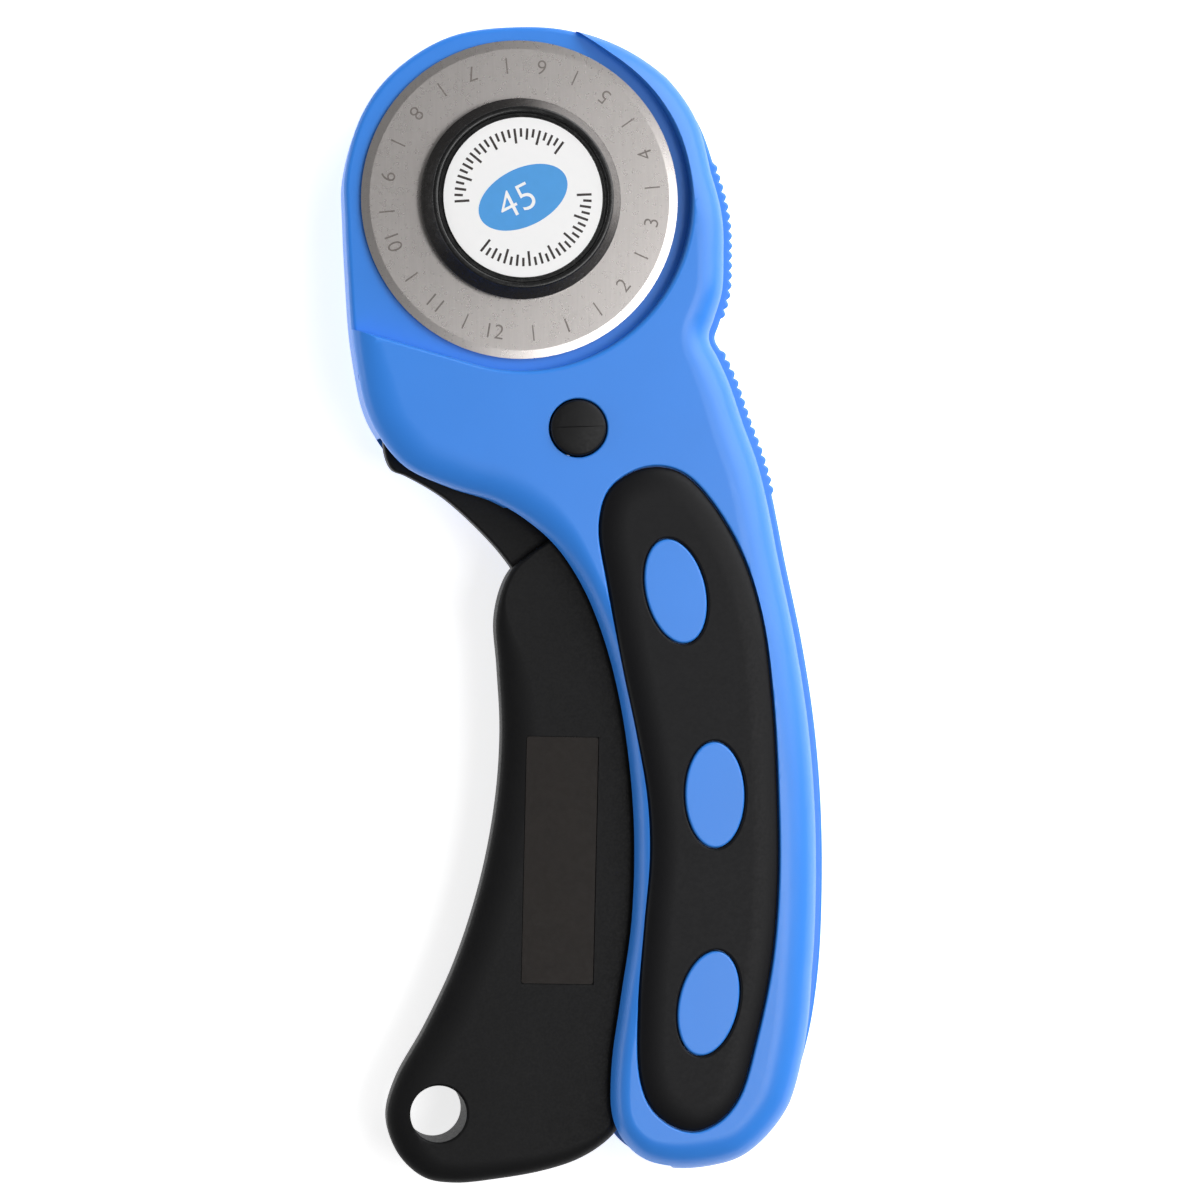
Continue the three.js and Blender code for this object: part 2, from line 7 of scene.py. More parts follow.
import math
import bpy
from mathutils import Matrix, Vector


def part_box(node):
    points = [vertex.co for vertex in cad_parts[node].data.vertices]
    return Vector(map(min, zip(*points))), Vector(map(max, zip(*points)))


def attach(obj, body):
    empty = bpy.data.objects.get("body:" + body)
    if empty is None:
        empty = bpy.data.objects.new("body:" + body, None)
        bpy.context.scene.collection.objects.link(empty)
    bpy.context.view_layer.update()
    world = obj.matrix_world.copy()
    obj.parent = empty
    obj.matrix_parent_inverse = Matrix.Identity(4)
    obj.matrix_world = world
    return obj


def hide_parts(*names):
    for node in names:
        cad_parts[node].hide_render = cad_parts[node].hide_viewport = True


bl_info = {
    "name": "Rotary cutter",
    "version": (1, 0, 0),
    "blender": (4, 5, 0),
    "location": "View3D > Sidebar > Cutter",
    "description": "Builds a squeeze-lever rotary cutter, piece by piece",
    "category": "Add Mesh",
}

import bmesh
import bpy
from mathutils import Matrix, Vector

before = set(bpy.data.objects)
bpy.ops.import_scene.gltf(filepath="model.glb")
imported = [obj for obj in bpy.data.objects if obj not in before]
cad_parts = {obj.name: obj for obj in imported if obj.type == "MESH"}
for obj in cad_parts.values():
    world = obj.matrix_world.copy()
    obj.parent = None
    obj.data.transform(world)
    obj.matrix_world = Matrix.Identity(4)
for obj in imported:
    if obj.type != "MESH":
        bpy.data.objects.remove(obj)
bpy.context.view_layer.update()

MM = 0.001
MICRON = MM * MM
ORIGIN = Vector((0, 0))

# Sizes that the pieces share, in millimetres.
BLADE_RADIUS = 22.5
NECK_Y = -42.0  # where the handle starts
GRIP_LENGTH = 95.4
WALL = 2.2
RIB_WIDTH = 1.3
SIDE_DRAFT = 0.45  # slope of the head's left side

# Heights, from the plane that the cutter lies on.
MIDDLE = 9.5  # the parting plane
PARTING = 9.56  # the front shell's edge; the rear shell's is its reflection
RIB_TOP = 12.1
ARM_CEILING = 12.8
HEAD_CEILING = 13.0
HEAD_FLOOR = 15.2
GRIP_CEILING = 15.9
POCKET_FLOOR = 17.2
SHELL_FRONT = 18.4
OVAL_TOP = 18.92

LEVER_TRAVEL = 10.5  # degrees


def behind(height):
    """The same height on the other side of the parting plane."""
    return 2 * MIDDLE - height


# ---------------------------------------------------------------- outlines


def head(angle, outside):
    """A point beside the blade, from its angle in degrees and its distance outside the blade's edge."""
    turn = math.radians(angle)
    reach = BLADE_RADIUS + outside
    return Vector((reach * math.cos(turn), reach * math.sin(turn)))


def grip(x, share):
    """A point of the handle, from its X and its share of the way from the neck to the butt."""
    return Vector((x, NECK_Y - share * GRIP_LENGTH))


def turned(point, about, degrees):
    """The point after a turn about another."""
    return about + Matrix.Rotation(math.radians(degrees), 2) @ (point - about)


def smooth(points, steps):
    """A closed centripetal curve through the points, with this many steps from each one to the next."""
    line = []
    count = len(points)
    for index in range(count):
        before, start, end, after = (points[(index + step) % count] for step in (-1, 0, 1, 2))
        legs = [end - start for start, end in ((before, start), (start, end), (end, after))]
        spans = [math.sqrt(leg.length) for leg in legs]
        leave = legs[0] / spans[0] - (end - before) / (spans[0] + spans[1]) + legs[1] / spans[1]
        arrive = legs[1] / spans[1] - (after - start) / (spans[1] + spans[2]) + legs[2] / spans[2]
        leave, arrive = leave * spans[1], arrive * spans[1]
        for step in range(steps):
            t = step / steps
            bend = (3 * legs[1] - 2 * leave - arrive) * t**2 + (leave + arrive - 2 * legs[1]) * t**3
            line.append(start + leave * t + bend)
    return line


def inward(points):
    """The unit vector that points into a closed counter-clockwise line, at each of its points."""
    count = len(points)
    found = []
    for index in range(count):
        along = (points[(index + 1) % count] - points[index - 1]).normalized()
        found.append(Vector((-along.y, along.x)))
    return found


def inset(points, distances):
    """A closed counter-clockwise line moved inwards, by one distance or by one for each point."""
    if isinstance(distances, (int, float)):
        distances = [distances] * len(points)
    return [point + way * distance for point, way, distance in zip(points, inward(points), distances)]


def circle(centre, radius, sides=48):
    """A circle's points."""
    return ellipse(centre, radius, radius, 0, sides)


def ellipse(centre, half_width, half_length, tilt, sides=48):
    """An ellipse's points, tilted by this many degrees."""
    spin = Matrix.Rotation(math.radians(tilt), 2)
    turns = [2 * math.pi * side / sides for side in range(sides)]
    return [centre + spin @ Vector((half_width * math.cos(t), half_length * math.sin(t))) for t in turns]


def capsule(start, end, radius, sides=24):
    """The outline of what a circle sweeps from one place to another."""
    heading = math.atan2(end.y - start.y, end.x - start.x)
    line = []
    for centre, first in ((end, heading - math.pi / 2), (start, heading + math.pi / 2)):
        for side in range(sides + 1):
            turn = first + math.pi * side / sides
            line.append(centre + radius * Vector((math.cos(turn), math.sin(turn))))
    return line


PIVOT = head(256.1, 14.1)
BUTTON = head(283.9, 10.8)
HANGING_EYE = grip(-11.4, 0.915)
TRAVELLED = turned(ORIGIN, PIVOT, LEVER_TRAVEL)

SILHOUETTE = [
    head(88, 2.15), head(113, 2.6), head(135, 2.85), head(152, 2.8), head(172, 2.5), head(187, 2.4),
    head(206, 4.5), head(218, 7.7), head(226.5, 10.9), head(233, 14), head(238.4, 16.2),
    head(246.6, 18.6), head(256.2, 19.4), head(266, 20.6),
    grip(3.7, 0.06), grip(8.2, 0.124), grip(11.8, 0.213), grip(14.5, 0.331), grip(16, 0.482),
    grip(15.7, 0.629), grip(14.1, 0.747), grip(12.8, 0.849), grip(13, 0.922), grip(14.8, 0.961),
    grip(17.8, 0.988), grip(22.4, 1), grip(27.5, 0.997), grip(31.8, 0.984), grip(35.6, 0.953),
    grip(38.9, 0.905), grip(41.8, 0.815), grip(43.4, 0.713), grip(44, 0.587), grip(43.8, 0.454),
    grip(42.8, 0.333), grip(41, 0.213), grip(38.6, 0.094),
    head(311.5, 32.9), head(314.1, 28.4), head(317.2, 22.9), head(321.3, 17.6), head(324.2, 13.9),
    head(325.9, 11.9), head(329.4, 11.3), head(336.8, 10.5), head(345.3, 9.1), head(356.2, 7.9),
    head(8.9, 6.5), head(25.1, 5.95), head(39.6, 4.9), head(55.1, 3.8), head(71.7, 2.8),
]
PLACES = len(SILHOUETTE)
RIM_STEPS = 7
SPINE = (29, 49)  # places in the silhouette between which the rib runs
LEFT_SIDE = (-1, 13)  # places between which the side slopes
RIDGE_ROWS = ((37, 41.2), (43.2, 47.2))  # places of their first and last ridges
RIDGE_PITCH = 1.43
RIDGE_HEIGHT = 0.45

# How far the shells' rims round over, as [place, width, height]: soft along the spine, steep at the lever.
RIM_ROUNDING = [
    [0, 6.0, 3.2], [3, 4.0, 2.8], [6, 3.0, 2.2], [9, 5.0, 2.4], [13, 5.0, 2.8], [15.5, 2.8, 4.0],
    [22, 2.8, 4.0], [26, 4.6, 4.4], [30, 5.8, 5.0], [38, 5.6, 4.8], [44, 4.4, 4.2], [49, 5.0, 3.4],
    [PLACES, 6.0, 3.2],
]

RUBBER_RIM = [
    grip(10.9, 0.042), grip(12.3, -0.01), grip(15.8, -0.038), grip(19.3, -0.046), grip(22.8, -0.037),
    grip(26.1, -0.007), grip(31.1, 0.075), grip(34.3, 0.175), grip(35.9, 0.302), grip(36.6, 0.44),
    grip(36.7, 0.569), grip(35.8, 0.689), grip(33.5, 0.807), grip(31, 0.893), grip(28.2, 0.928),
    grip(24.7, 0.943), grip(21.3, 0.934), grip(18.3, 0.906), grip(16.7, 0.86), grip(16.5, 0.755),
    grip(17.4, 0.634), grip(18.2, 0.535), grip(17.9, 0.451), grip(16.5, 0.361), grip(14.2, 0.246),
    grip(12.1, 0.131),
][::-1]
OVALS = [(grip(21.8, 0.14), 13.3), (grip(27.4, 0.442), 1), (grip(26.5, 0.751), -12.3)]  # centre and tilt
OVAL_WIDTH, OVAL_LENGTH = 8.5, 15

SQUEEZED_RIM = [
    grip(3.65, 0.07), grip(1.2, 0.088), grip(-0.9, 0.107), grip(-2.3, 0.136), grip(-3.2, 0.183),
    grip(-2.75, 0.252), grip(-2.3, 0.348), grip(-3, 0.454), grip(-5.2, 0.574), grip(-8.9, 0.694),
    grip(-13.2, 0.789), grip(-17.2, 0.863), grip(-18.6, 0.912), grip(-18.3, 0.943), grip(-16.6, 0.981),
    grip(-13.2, 1.011), grip(-9, 1.019), grip(-3, 1.014), grip(3.5, 1.003), grip(8.5, 0.987),
    grip(12.2, 0.964), grip(14.3, 0.941), grip(15.3, 0.901), grip(15.8, 0.818), grip(16.8, 0.713),
    grip(18.2, 0.587), grip(18.4, 0.482), grip(17.6, 0.377), grip(15.6, 0.273), grip(12.6, 0.168),
    grip(9.4, 0.095), grip(6.5, 0.055),
]
# The rounding of the lever's front rim, in the same way: a tight step at the arm, soft for the fingers.
LEVER_ROUNDING = [
    [0, 0.4, 0.5], [3, 0.8, 0.8], [6, 5.0, 1.6], [12, 5.0, 1.6], [16, 3.4, 1.8], [21, 2.0, 2.0],
    [24, 1.0, 1.0], [30, 0.5, 0.6], [32, 0.4, 0.5],
]
ARM_RIM = [
    grip(9, 0.16), grip(14, 0.03), head(293.3, 14.9), head(303, 3.5), head(325, -7.5),
    head(0, -11.5), head(45, -11.5), head(90, -11.5), head(135, -11.5), head(180, -11.5), head(219, -7),
    head(231.5, 2), head(237.6, 9.2), head(240.4, 12.5), head(240.4, 15.8), head(242.4, 18.1),
    head(245, 19.6), head(248, 19.6), head(256, 20.9), grip(-4.05, 0.063), grip(-0.9, 0.103),
    grip(2.5, 0.16),
]
# The openings in the side wall: for the arm under the head, and for the squeezed part down to the butt.
ARM_EXIT = [
    head(240.35, 13), head(240, 17.4), head(233, 43), grip(-40, 0.2), grip(10, 0.2), grip(10, 0),
    head(259, 9.5),
]
SQUEEZED_EXIT = [
    grip(-40, 0.016), grip(-40, 1.5), grip(22, 1.5), grip(22, 0.9), grip(20, 0.3), grip(12, 0.016),
]
SCREWS = [
    head(8, 3), head(135, -1), head(308.7, 16), grip(37.3, 0.22), grip(39.5, 0.555), grip(36.3, 0.835),
]


def by_place(table, steps):
    """A table's widths and heights as two lists, with one value for each point of a smoothed outline."""
    found = []
    for index in range(table[-1][0] * steps):
        place = index / steps
        low, high = next(pair for pair in zip(table, table[1:]) if pair[0][0] <= place <= pair[1][0])
        share = (place - low[0]) / (high[0] - low[0])
        share = share * share * (3 - 2 * share)
        found.append([a + (b - a) * share for a, b in zip(low[1:], high[1:])])
    return [list(column) for column in zip(*found)]


def body_rim():
    """The shells' outline, inside the rib that stands out along the spine."""
    line = smooth(SILHOUETTE, RIM_STEPS)
    first, last = SPINE
    fade = 2
    places = [index / RIM_STEPS for index in range(len(line))]
    shares = [max(0, min(1, (place - first) / fade, (last - place) / fade)) for place in places]
    return inset(line, [RIB_WIDTH * share for share in shares])


def lean(place):
    """How far the head's left side slopes in from its front edge to the parting plane."""
    from_top = place - PLACES if place > PLACES / 2 else place
    first, last = LEFT_SIDE
    fade = 3
    return SIDE_DRAFT * max(0, min(1, (from_top - first) / fade, (last - from_top) / fade))


def ridged_rim(buried):
    """The rib's outline with its two rows of small ridges. Away from the spine it is buried in the shells."""
    fine_steps = 40
    depths = [buried + lean(index / fine_steps) for index in range(PLACES * fine_steps)]
    fine = inset(smooth(SILHOUETTE, fine_steps), depths)

    def between(low, high):
        return fine[round(low * fine_steps):round(high * fine_steps)]

    def ridges(first, last, per_ridge=8):
        stretch = between(first, last)
        lengths = [0.0]
        for start, end in zip(stretch, stretch[1:]):
            lengths.append(lengths[-1] + (end - start).length)
        count = per_ridge * round(lengths[-1] / RIDGE_PITCH)
        line, at = [], 0
        for step in range(count):
            wanted = lengths[-1] * step / count
            while lengths[at + 1] < wanted:
                at += 1
            along = (stretch[at + 1] - stretch[at]).normalized()
            rise = RIDGE_HEIGHT * math.sin(math.pi * (step % per_ridge) / per_ridge)
            outwards = Vector((along.y, -along.x))
            line.append(stretch[at] + along * (wanted - lengths[at]) + outwards * rise)
        return line

    lower, upper = RIDGE_ROWS
    coarse = fine_steps // RIM_STEPS
    return [
        *between(0, lower[0])[::coarse], *ridges(*lower), *between(lower[1], upper[0])[::coarse],
        *ridges(*upper), *between(upper[1], PLACES)[::coarse],
    ]


def recess(grow):
    """The recess that the blade lies in: round at the lower right, open at the left and at the top."""
    radius = BLADE_RADIUS + 1.8 + grow
    ramp, tip = math.radians(254.3), math.radians(55 + 360)  # where the wall stops following the blade
    sides = 72
    past_the_head = 67.5

    def tangent(turn, distance):
        out = Vector((math.cos(turn), math.sin(turn)))
        return radius * out + distance * Vector((-out.y, out.x))

    wall = [tangent(ramp + (tip - ramp) * side / sides, 0) for side in range(sides + 1)]
    return [tangent(ramp, -past_the_head), *wall, tangent(tip, past_the_head)]


# ---------------------------------------------------------------- modelling


def rings(outline, low, high, low_rim=(0, 0), high_rim=(0, 0), steps=7):
    """Rings of points from one height to another.

    A rim is the width and height of its rounding, each a number or a list with one for each point.
    """
    ways = inward(outline)

    def listed(value):
        return value if isinstance(value, list) else [value] * len(outline)

    def rim(face, sign, widths, heights):
        found = []
        for step in range(steps + 1):
            turn = math.pi / 2 * step / steps
            out, up = 1 - math.cos(turn), 1 - math.sin(turn)
            found.append([
                (*(point + way * width * out), face - sign * height * up)
                for point, way, width, height in zip(outline, ways, listed(widths), listed(heights))
            ])
        return found

    flat = [(*point, low) for point in outline]
    below = rim(low, -1, *low_rim)[::-1] if low_rim != (0, 0) else [flat]
    above = rim(high, 1, *high_rim) if high_rim != (0, 0) else [[(*point, high) for point in outline]]
    return below + above


def flared(outline, low, face, width, height, steps=5):
    """Rings of a cutting tool that leaves a rounded edge where it enters a face."""
    found = rings(outline, low, face, high_rim=(-width, height), steps=steps)
    past_the_face = 2 if face > low else -2
    return found + [[(x, y, face + past_the_face) for x, y, z in found[-1]]]


def reflected(levels):
    """The rings on the other side of the parting plane."""
    return [[(x, y, behind(z)) for x, y, z in level] for level in levels]


def object_of(shape, name):
    """An object with the shape's mesh, in metres."""
    mesh = bpy.data.meshes.new(name)
    bmesh.ops.scale(shape, vec=(MM,) * 3, verts=shape.verts)
    shape.to_mesh(mesh)
    shape.free()
    made = bpy.data.objects.new(name, mesh)
    bpy.context.scene.collection.objects.link(made)
    return made


def loft(levels, name="tool"):
    """A closed solid through rings of points that all have the same count."""
    shape = bmesh.new()
    loops = []
    for level in levels:
        corners = [shape.verts.new(point) for point in level]
        pairs = zip([corners[-1], *corners], corners)
        loops.append([shape.edges.new(pair) for pair in pairs])
    for lower, upper in zip(loops, loops[1:]):
        bmesh.ops.bridge_loops(shape, edges=lower + upper)
    for loop in (loops[0], loops[-1]):
        bmesh.ops.contextual_create(shape, geom=loop)
    bmesh.ops.recalc_face_normals(shape, faces=shape.faces)
    return object_of(shape, name)


def turning(profile, centre=ORIGIN, name="tool", sides=96):
    """A turned solid from [radius, height] points that start and end on the axis, or close on themselves."""
    shape = bmesh.new()
    corners = [shape.verts.new((radius, 0, height)) for radius, height in profile]
    edges = [shape.edges.new(pair) for pair in zip(corners, corners[1:])]
    if min(profile[0][0], profile[-1][0]) > 0:
        edges.append(shape.edges.new((corners[-1], corners[0])))
    bmesh.ops.spin(
        shape, geom=corners + edges, axis=(0, 0, 1), cent=(0, 0, 0), angle=2 * math.pi, steps=sides,
        use_merge=True,
    )
    bmesh.ops.remove_doubles(shape, verts=shape.verts, dist=1e-5)
    bmesh.ops.recalc_face_normals(shape, faces=shape.faces)
    bmesh.ops.translate(shape, vec=(*centre, 0), verts=shape.verts)
    return object_of(shape, name)


def arc(centre, radius, first, last, steps=6):
    """[radius, height] points round part of a circle, from one angle to another in degrees."""
    turns = [math.radians(first + (last - first) * step / steps) for step in range(steps + 1)]
    return [[centre[0] + radius * math.cos(turn), centre[1] + radius * math.sin(turn)] for turn in turns]


def rod(centre, radius, low, high, sides=48):
    """A plain cylinder, for cutting or joining."""
    return loft(rings(circle(centre, radius, sides), low, high))


def block(centre, size, low, high, tilt):
    """A plain upright box, turned by this many degrees, for cutting."""
    shape = bmesh.new()
    bmesh.ops.create_cube(shape, size=1)
    bmesh.ops.scale(shape, vec=(*size, high - low), verts=shape.verts)
    bmesh.ops.rotate(shape, matrix=Matrix.Rotation(math.radians(tilt), 3, "Z"), verts=shape.verts)
    bmesh.ops.translate(shape, vec=(*centre, (low + high) / 2), verts=shape.verts)
    return object_of(shape, "tool")


def gathered(tools):
    """Several objects that don't touch, as one."""
    shape = bmesh.new()
    for tool in tools:
        shape.from_mesh(tool.data)
        discard(tool)
    bmesh.ops.scale(shape, vec=(1 / MM,) * 3, verts=shape.verts)
    return object_of(shape, "tool")


def discard(made):
    """Removes an object and its mesh."""
    mesh = made.data
    bpy.data.objects.remove(made)
    bpy.data.meshes.remove(mesh)


def combine(target, operation, *tools):
    """Joins each tool to the target or cuts it away, and discards it."""
    for tool in tools:
        modifier = target.modifiers.new("combine", "BOOLEAN")
        modifier.operation, modifier.object, modifier.solver = operation, tool, "MANIFOLD"
        graph = bpy.context.evaluated_depsgraph_get()
        mesh = bpy.data.meshes.new_from_object(target.evaluated_get(graph))
        target.modifiers.clear()
        old, target.data = target.data, mesh
        bpy.data.meshes.remove(old)
        discard(tool)
        if not mesh.polygons:
            raise RuntimeError(f"{target.name} lost all its faces")
    return target


def piece(made, name, body, slot, material, *nodes, sharp=32):
    """Finishes a piece: its name, finish and shading, its body, and the CAD nodes that it stands for.

    sharp is the angle in degrees from which an edge looks sharp.
    """
    made.name = made.data.name = name
    made.data.materials.clear()
    made.data.materials.append(material)
    shape = bmesh.new()
    shape.from_mesh(made.data)
    bmesh.ops.remove_doubles(shape, verts=shape.verts, dist=1e-7)
    bmesh.ops.dissolve_degenerate(shape, edges=shape.edges, dist=1e-7)
    for face in shape.faces:
        face.material_index = 0
        face.smooth = True
    shape.to_mesh(made.data)
    shape.free()
    made.data.set_sharp_from_angle(angle=math.radians(sharp))
    weighted = made.modifiers.new("even shading", "WEIGHTED_NORMAL")
    weighted.keep_sharp = True
    weighted.weight = 100
    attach(made, body)
    if nodes:
        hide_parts(*nodes)
    return made


# ---------------------------------------------------------------- materials


def linear(colour):
    """Linear RGBA from an sRGB hex colour such as "3f86e0"."""
    parts = [int(colour[at:at + 2], 16) / 255 for at in (0, 2, 4)]
    return (*(part / 12.92 if part <= 0.04045 else ((part + 0.055) / 1.055) ** 2.4 for part in parts), 1)


# The Mix node's sockets for colours share their names with those for numbers, so they go by their places.
SHARE, FIRST, SECOND, MIXED = 0, 6, 7, 2


def add(tree, kind, settings=None, inputs=None):
    """Adds a node with its settings, and sets or links its inputs."""
    node = tree.nodes.new(kind)
    for name, value in (settings or {}).items():
        setattr(node, name, value)
    for name, value in (inputs or {}).items():
        if isinstance(value, bpy.types.NodeSocket):
            tree.links.new(value, node.inputs[name])
        else:
            node.inputs[name].default_value = value
    return node


def per(size):
    """The scale that gives a pattern features of this size in millimetres."""
    return 1 / (size * MM)


def surface(name, dark, light, cloud, rough, grain, relief, **constants):
    """A finish with two close tones in soft clouds, uneven gloss and a fine grain in relief.

    cloud and grain are their sizes in millimetres, rough is the lowest and the highest roughness, and
    relief is the grain's depth in micrometres. The constants are sockets of the shader, with _ for a space.
    """
    material = bpy.data.materials.new(name)
    material.use_nodes = True
    tree = material.node_tree
    tree.nodes.clear()
    place = add(tree, "ShaderNodeTexCoord").outputs["Object"]
    clouds = add(tree, "ShaderNodeTexNoise", None, {"Vector": place, "Scale": per(cloud), "Detail": 3.0})
    tones = add(
        tree, "ShaderNodeMix", {"data_type": "RGBA"},
        {SHARE: clouds.outputs["Fac"], FIRST: dark, SECOND: light},
    )
    grains = add(tree, "ShaderNodeTexNoise", None, {"Vector": place, "Scale": per(grain), "Detail": 2.0})
    gloss = add(tree, "ShaderNodeMapRange", None, {
        "Value": grains.outputs["Fac"], "From Min": 0.3, "From Max": 0.7,
        "To Min": rough[0], "To Max": rough[1],
    })
    bump = add(
        tree, "ShaderNodeBump", None,
        {"Height": grains.outputs["Fac"], "Strength": 1.0, "Distance": relief * MICRON},
    )
    shader = add(tree, "ShaderNodeBsdfPrincipled", None, {
        "Base Color": tones.outputs[MIXED], "Roughness": gloss.outputs["Result"],
        "Normal": bump.outputs["Normal"],
    })
    for socket, value in constants.items():
        shader.inputs[socket.replace("_", " ")].default_value = value
    add(tree, "ShaderNodeOutputMaterial", None, {"Surface": shader.outputs["BSDF"]})
    return material


def finish(name):
    """The material of this name, made the first time that it is asked for."""
    return bpy.data.materials.get(name) or FINISHES[name](name, bpy.context.scene.cutter_colours)


def toned(colour, share):
    """A colour made darker or lighter by this share."""
    return (*(min(1, part * share) for part in colour[:3]), 1)


def moulded_blue(name, colours):
    # Blue ABS from a satin mould: an even colour with a soft gloss that thins out on the rims.
    return surface(
        name, toned(colours.blue, 0.94), toned(colours.blue, 1.05), 14, (0.3, 0.38), 0.35, 2.5, IOR=1.54
    )


def eroded_black(name, colours):
    # Black ABS from a spark-eroded mould: a fine pebble that breaks up every reflection. Its 0.1 mm grain is
    # drawn at 0.32 mm, so that it shows.
    return surface(
        name, toned(colours.black, 0.75), toned(colours.black, 1.2), 9, (0.42, 0.6), 0.32, 9,
        IOR=1.54, Specular_IOR_Level=0.16,
    )


def polished_black(name, colours):
    # Black ABS from a polished mould: deep and glossy, with faint flow marks.
    return surface(
        name, toned(colours.black, 0.4), toned(colours.black, 0.6), 6, (0.2, 0.3), 0.9, 2, IOR=1.54
    )


def moulded_black(name, colours):
    # Black acetal, moulded and unpolished: semi-matt and slightly uneven.
    return surface(
        name, toned(colours.black, 0.8), toned(colours.black, 1.25), 4, (0.4, 0.55), 0.5, 4,
        IOR=1.48, Specular_IOR_Level=0.25,
    )


def grip_rubber(name, colours):
    # Thermoplastic rubber over-moulding: matt, with a faint bloom and a silky fall-off at its rolled edges.
    return surface(
        name, toned(colours.rubber, 0.85), toned(colours.rubber, 1.15), 11, (0.4, 0.52), 0.4, 4,
        IOR=1.5, Specular_IOR_Level=0.17, Sheen_Weight=0.04, Sheen_Roughness=0.4,
    )


def plated_steel(name, colours):
    # Zinc-plated steel: bright, with the slight cloudiness of the plating bath.
    return surface(name, linear("a9abae"), linear("c4c5c8"), 3, (0.26, 0.42), 0.4, 2, Metallic=1.0)


def coated_paper(name, colours):
    # Coated label paper: bright white with barely visible fibres.
    return surface(name, linear("fafafa"), linear("fefdfd"), 1.2, (0.42, 0.52), 0.3, 2, IOR=1.5)


def plaque_film(name, colours):
    # Brown-black plastic film, embossed from behind: smoother than the lever round it, with cloudy marks.
    return surface(
        name, linear("17120f"), linear("201a16"), 2.2, (0.34, 0.46), 0.7, 5,
        IOR=1.5, Specular_IOR_Level=0.2,
    )


def blue_ink(name, colours):
    # Blue offset ink on the label: flat and slightly glossier than the paper.
    return surface(
        name, toned(colours.ink, 0.95), toned(colours.ink, 1.05), 1.5, (0.36, 0.44), 0.3, 1, IOR=1.5
    )


def black_ink(name, colours):
    # Brown-black offset ink, thin enough for the paper's tooth to break its edges.
    return surface(name, linear("231c1b"), linear("362d2b"), 0.6, (0.4, 0.5), 0.3, 1, IOR=1.5)


def stamped_steel(name, colours):
    # The blade's steel where the numerals are pressed into it: duller and darker than the ground face.
    return surface(name, linear("6a6461"), linear("8f8884"), 0.5, (0.4, 0.55), 0.3, 4, Metallic=1.0)


def lit_acrylic(name, colours):
    # Opal acrylic with soft light behind it, the studio's table: white, matt and almost without shadows.
    white = linear("f4f4f4")
    return surface(
        name, white, linear("f7f7f7"), 60, (0.7, 0.8), 1.5, 1,
        IOR=1.49, Emission_Color=white, Emission_Strength=0.8,
    )


def ground_steel(name, colours):
    # Hardened tool steel, surface-ground in one direction and lightly oiled: fine straight streaks, faint
    # warm clouds where the oil has dried, and soft reflections.
    material = surface(
        name, linear("cac5c2"), linear("d1cbc8"), 11, (0.27, 0.29), 0.6, 0.04, Metallic=1.0
    )
    tree = material.node_tree

    def already(kind):
        return next(node for node in tree.nodes if node.type == kind)

    # The real grinding marks are about 0.03 mm apart. They are drawn 0.25 mm apart and 6 mm long, so that
    # they show.
    apart, stretched, direction = 0.25, 0.04, 0.5
    laid = add(tree, "ShaderNodeMapping", None, {
        "Vector": already("TEX_COORD").outputs["Object"], "Rotation": (0, 0, direction),
        "Scale": (1, stretched, 1),
    })
    streaks = add(
        tree, "ShaderNodeTexNoise", None,
        {"Vector": laid.outputs["Vector"], "Scale": per(apart), "Detail": 2.0},
    )
    shade = add(tree, "ShaderNodeMapRange", None, {
        "Value": streaks.outputs["Fac"], "From Min": 0.25, "From Max": 0.75, "To Min": 0.96, "To Max": 1.03,
    })
    mixed = add(
        tree, "ShaderNodeMix", {"data_type": "RGBA", "blend_type": "MULTIPLY"},
        {SHARE: 1.0, FIRST: already("MIX").outputs[MIXED], SECOND: shade.outputs["Result"]},
    )
    tree.links.new(mixed.outputs[MIXED], already("BSDF_PRINCIPLED").inputs["Base Color"])
    tree.links.new(streaks.outputs["Fac"], already("BUMP").inputs["Height"])
    return material


FINISHES = {
    "satin_moulded_abs_blue": moulded_blue,
    "spark_eroded_abs_black": eroded_black,
    "polished_abs_black": polished_black,
    "moulded_acetal_black": moulded_black,
    "moulded_rubber_black": grip_rubber,
    "zinc_plated_steel": plated_steel,
    "coated_label_paper": coated_paper,
    "embossed_plastic_film": plaque_film,
    "printed_ink_blue": blue_ink,
    "printed_ink_black": black_ink,
    "stamped_tool_steel": stamped_steel,
    "ground_tool_steel": ground_steel,
    "lit_acrylic_white": lit_acrylic,
}


# ---------------------------------------------------------------- settings


class CutterSizes(bpy.types.PropertyGroup):
    """The sizes that a user would change."""

    blade_diameter: bpy.props.FloatProperty(
        name="Blade diameter", description="Across the cutting edge", unit="LENGTH",
        default=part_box("blade")[1].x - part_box("blade")[0].x,
    )
    knob_diameter: bpy.props.FloatProperty(
        name="Knob diameter", description="Across the foot of the bolt's head", unit="LENGTH",
        default=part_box("bolt_head")[1].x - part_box("bolt_head")[0].x,
    )
    label_diameter: bpy.props.FloatProperty(
        name="Label diameter", description="Across the paper disc", unit="LENGTH", default=22.5 * MM
    )
    seam: bpy.props.FloatProperty(
        name="Rubber seam", description="Gap between the rubber and the shells", unit="LENGTH",
        default=0.16 * MM,
    )
    crown: bpy.props.FloatProperty(
        name="Rubber roll", description="How far the rubber rolls off inside its edge", unit="LENGTH",
        default=3.9 * MM,
    )
    numeral_height: bpy.props.FloatProperty(
        name="Numeral height", description="Height of the blade's numerals", unit="LENGTH", default=2.1 * MM
    )
    ridge_round: bpy.props.FloatProperty(
        name="Rib rounding", description="Rounding of the rib along the spine", unit="LENGTH",
        default=0.45 * MM,
    )


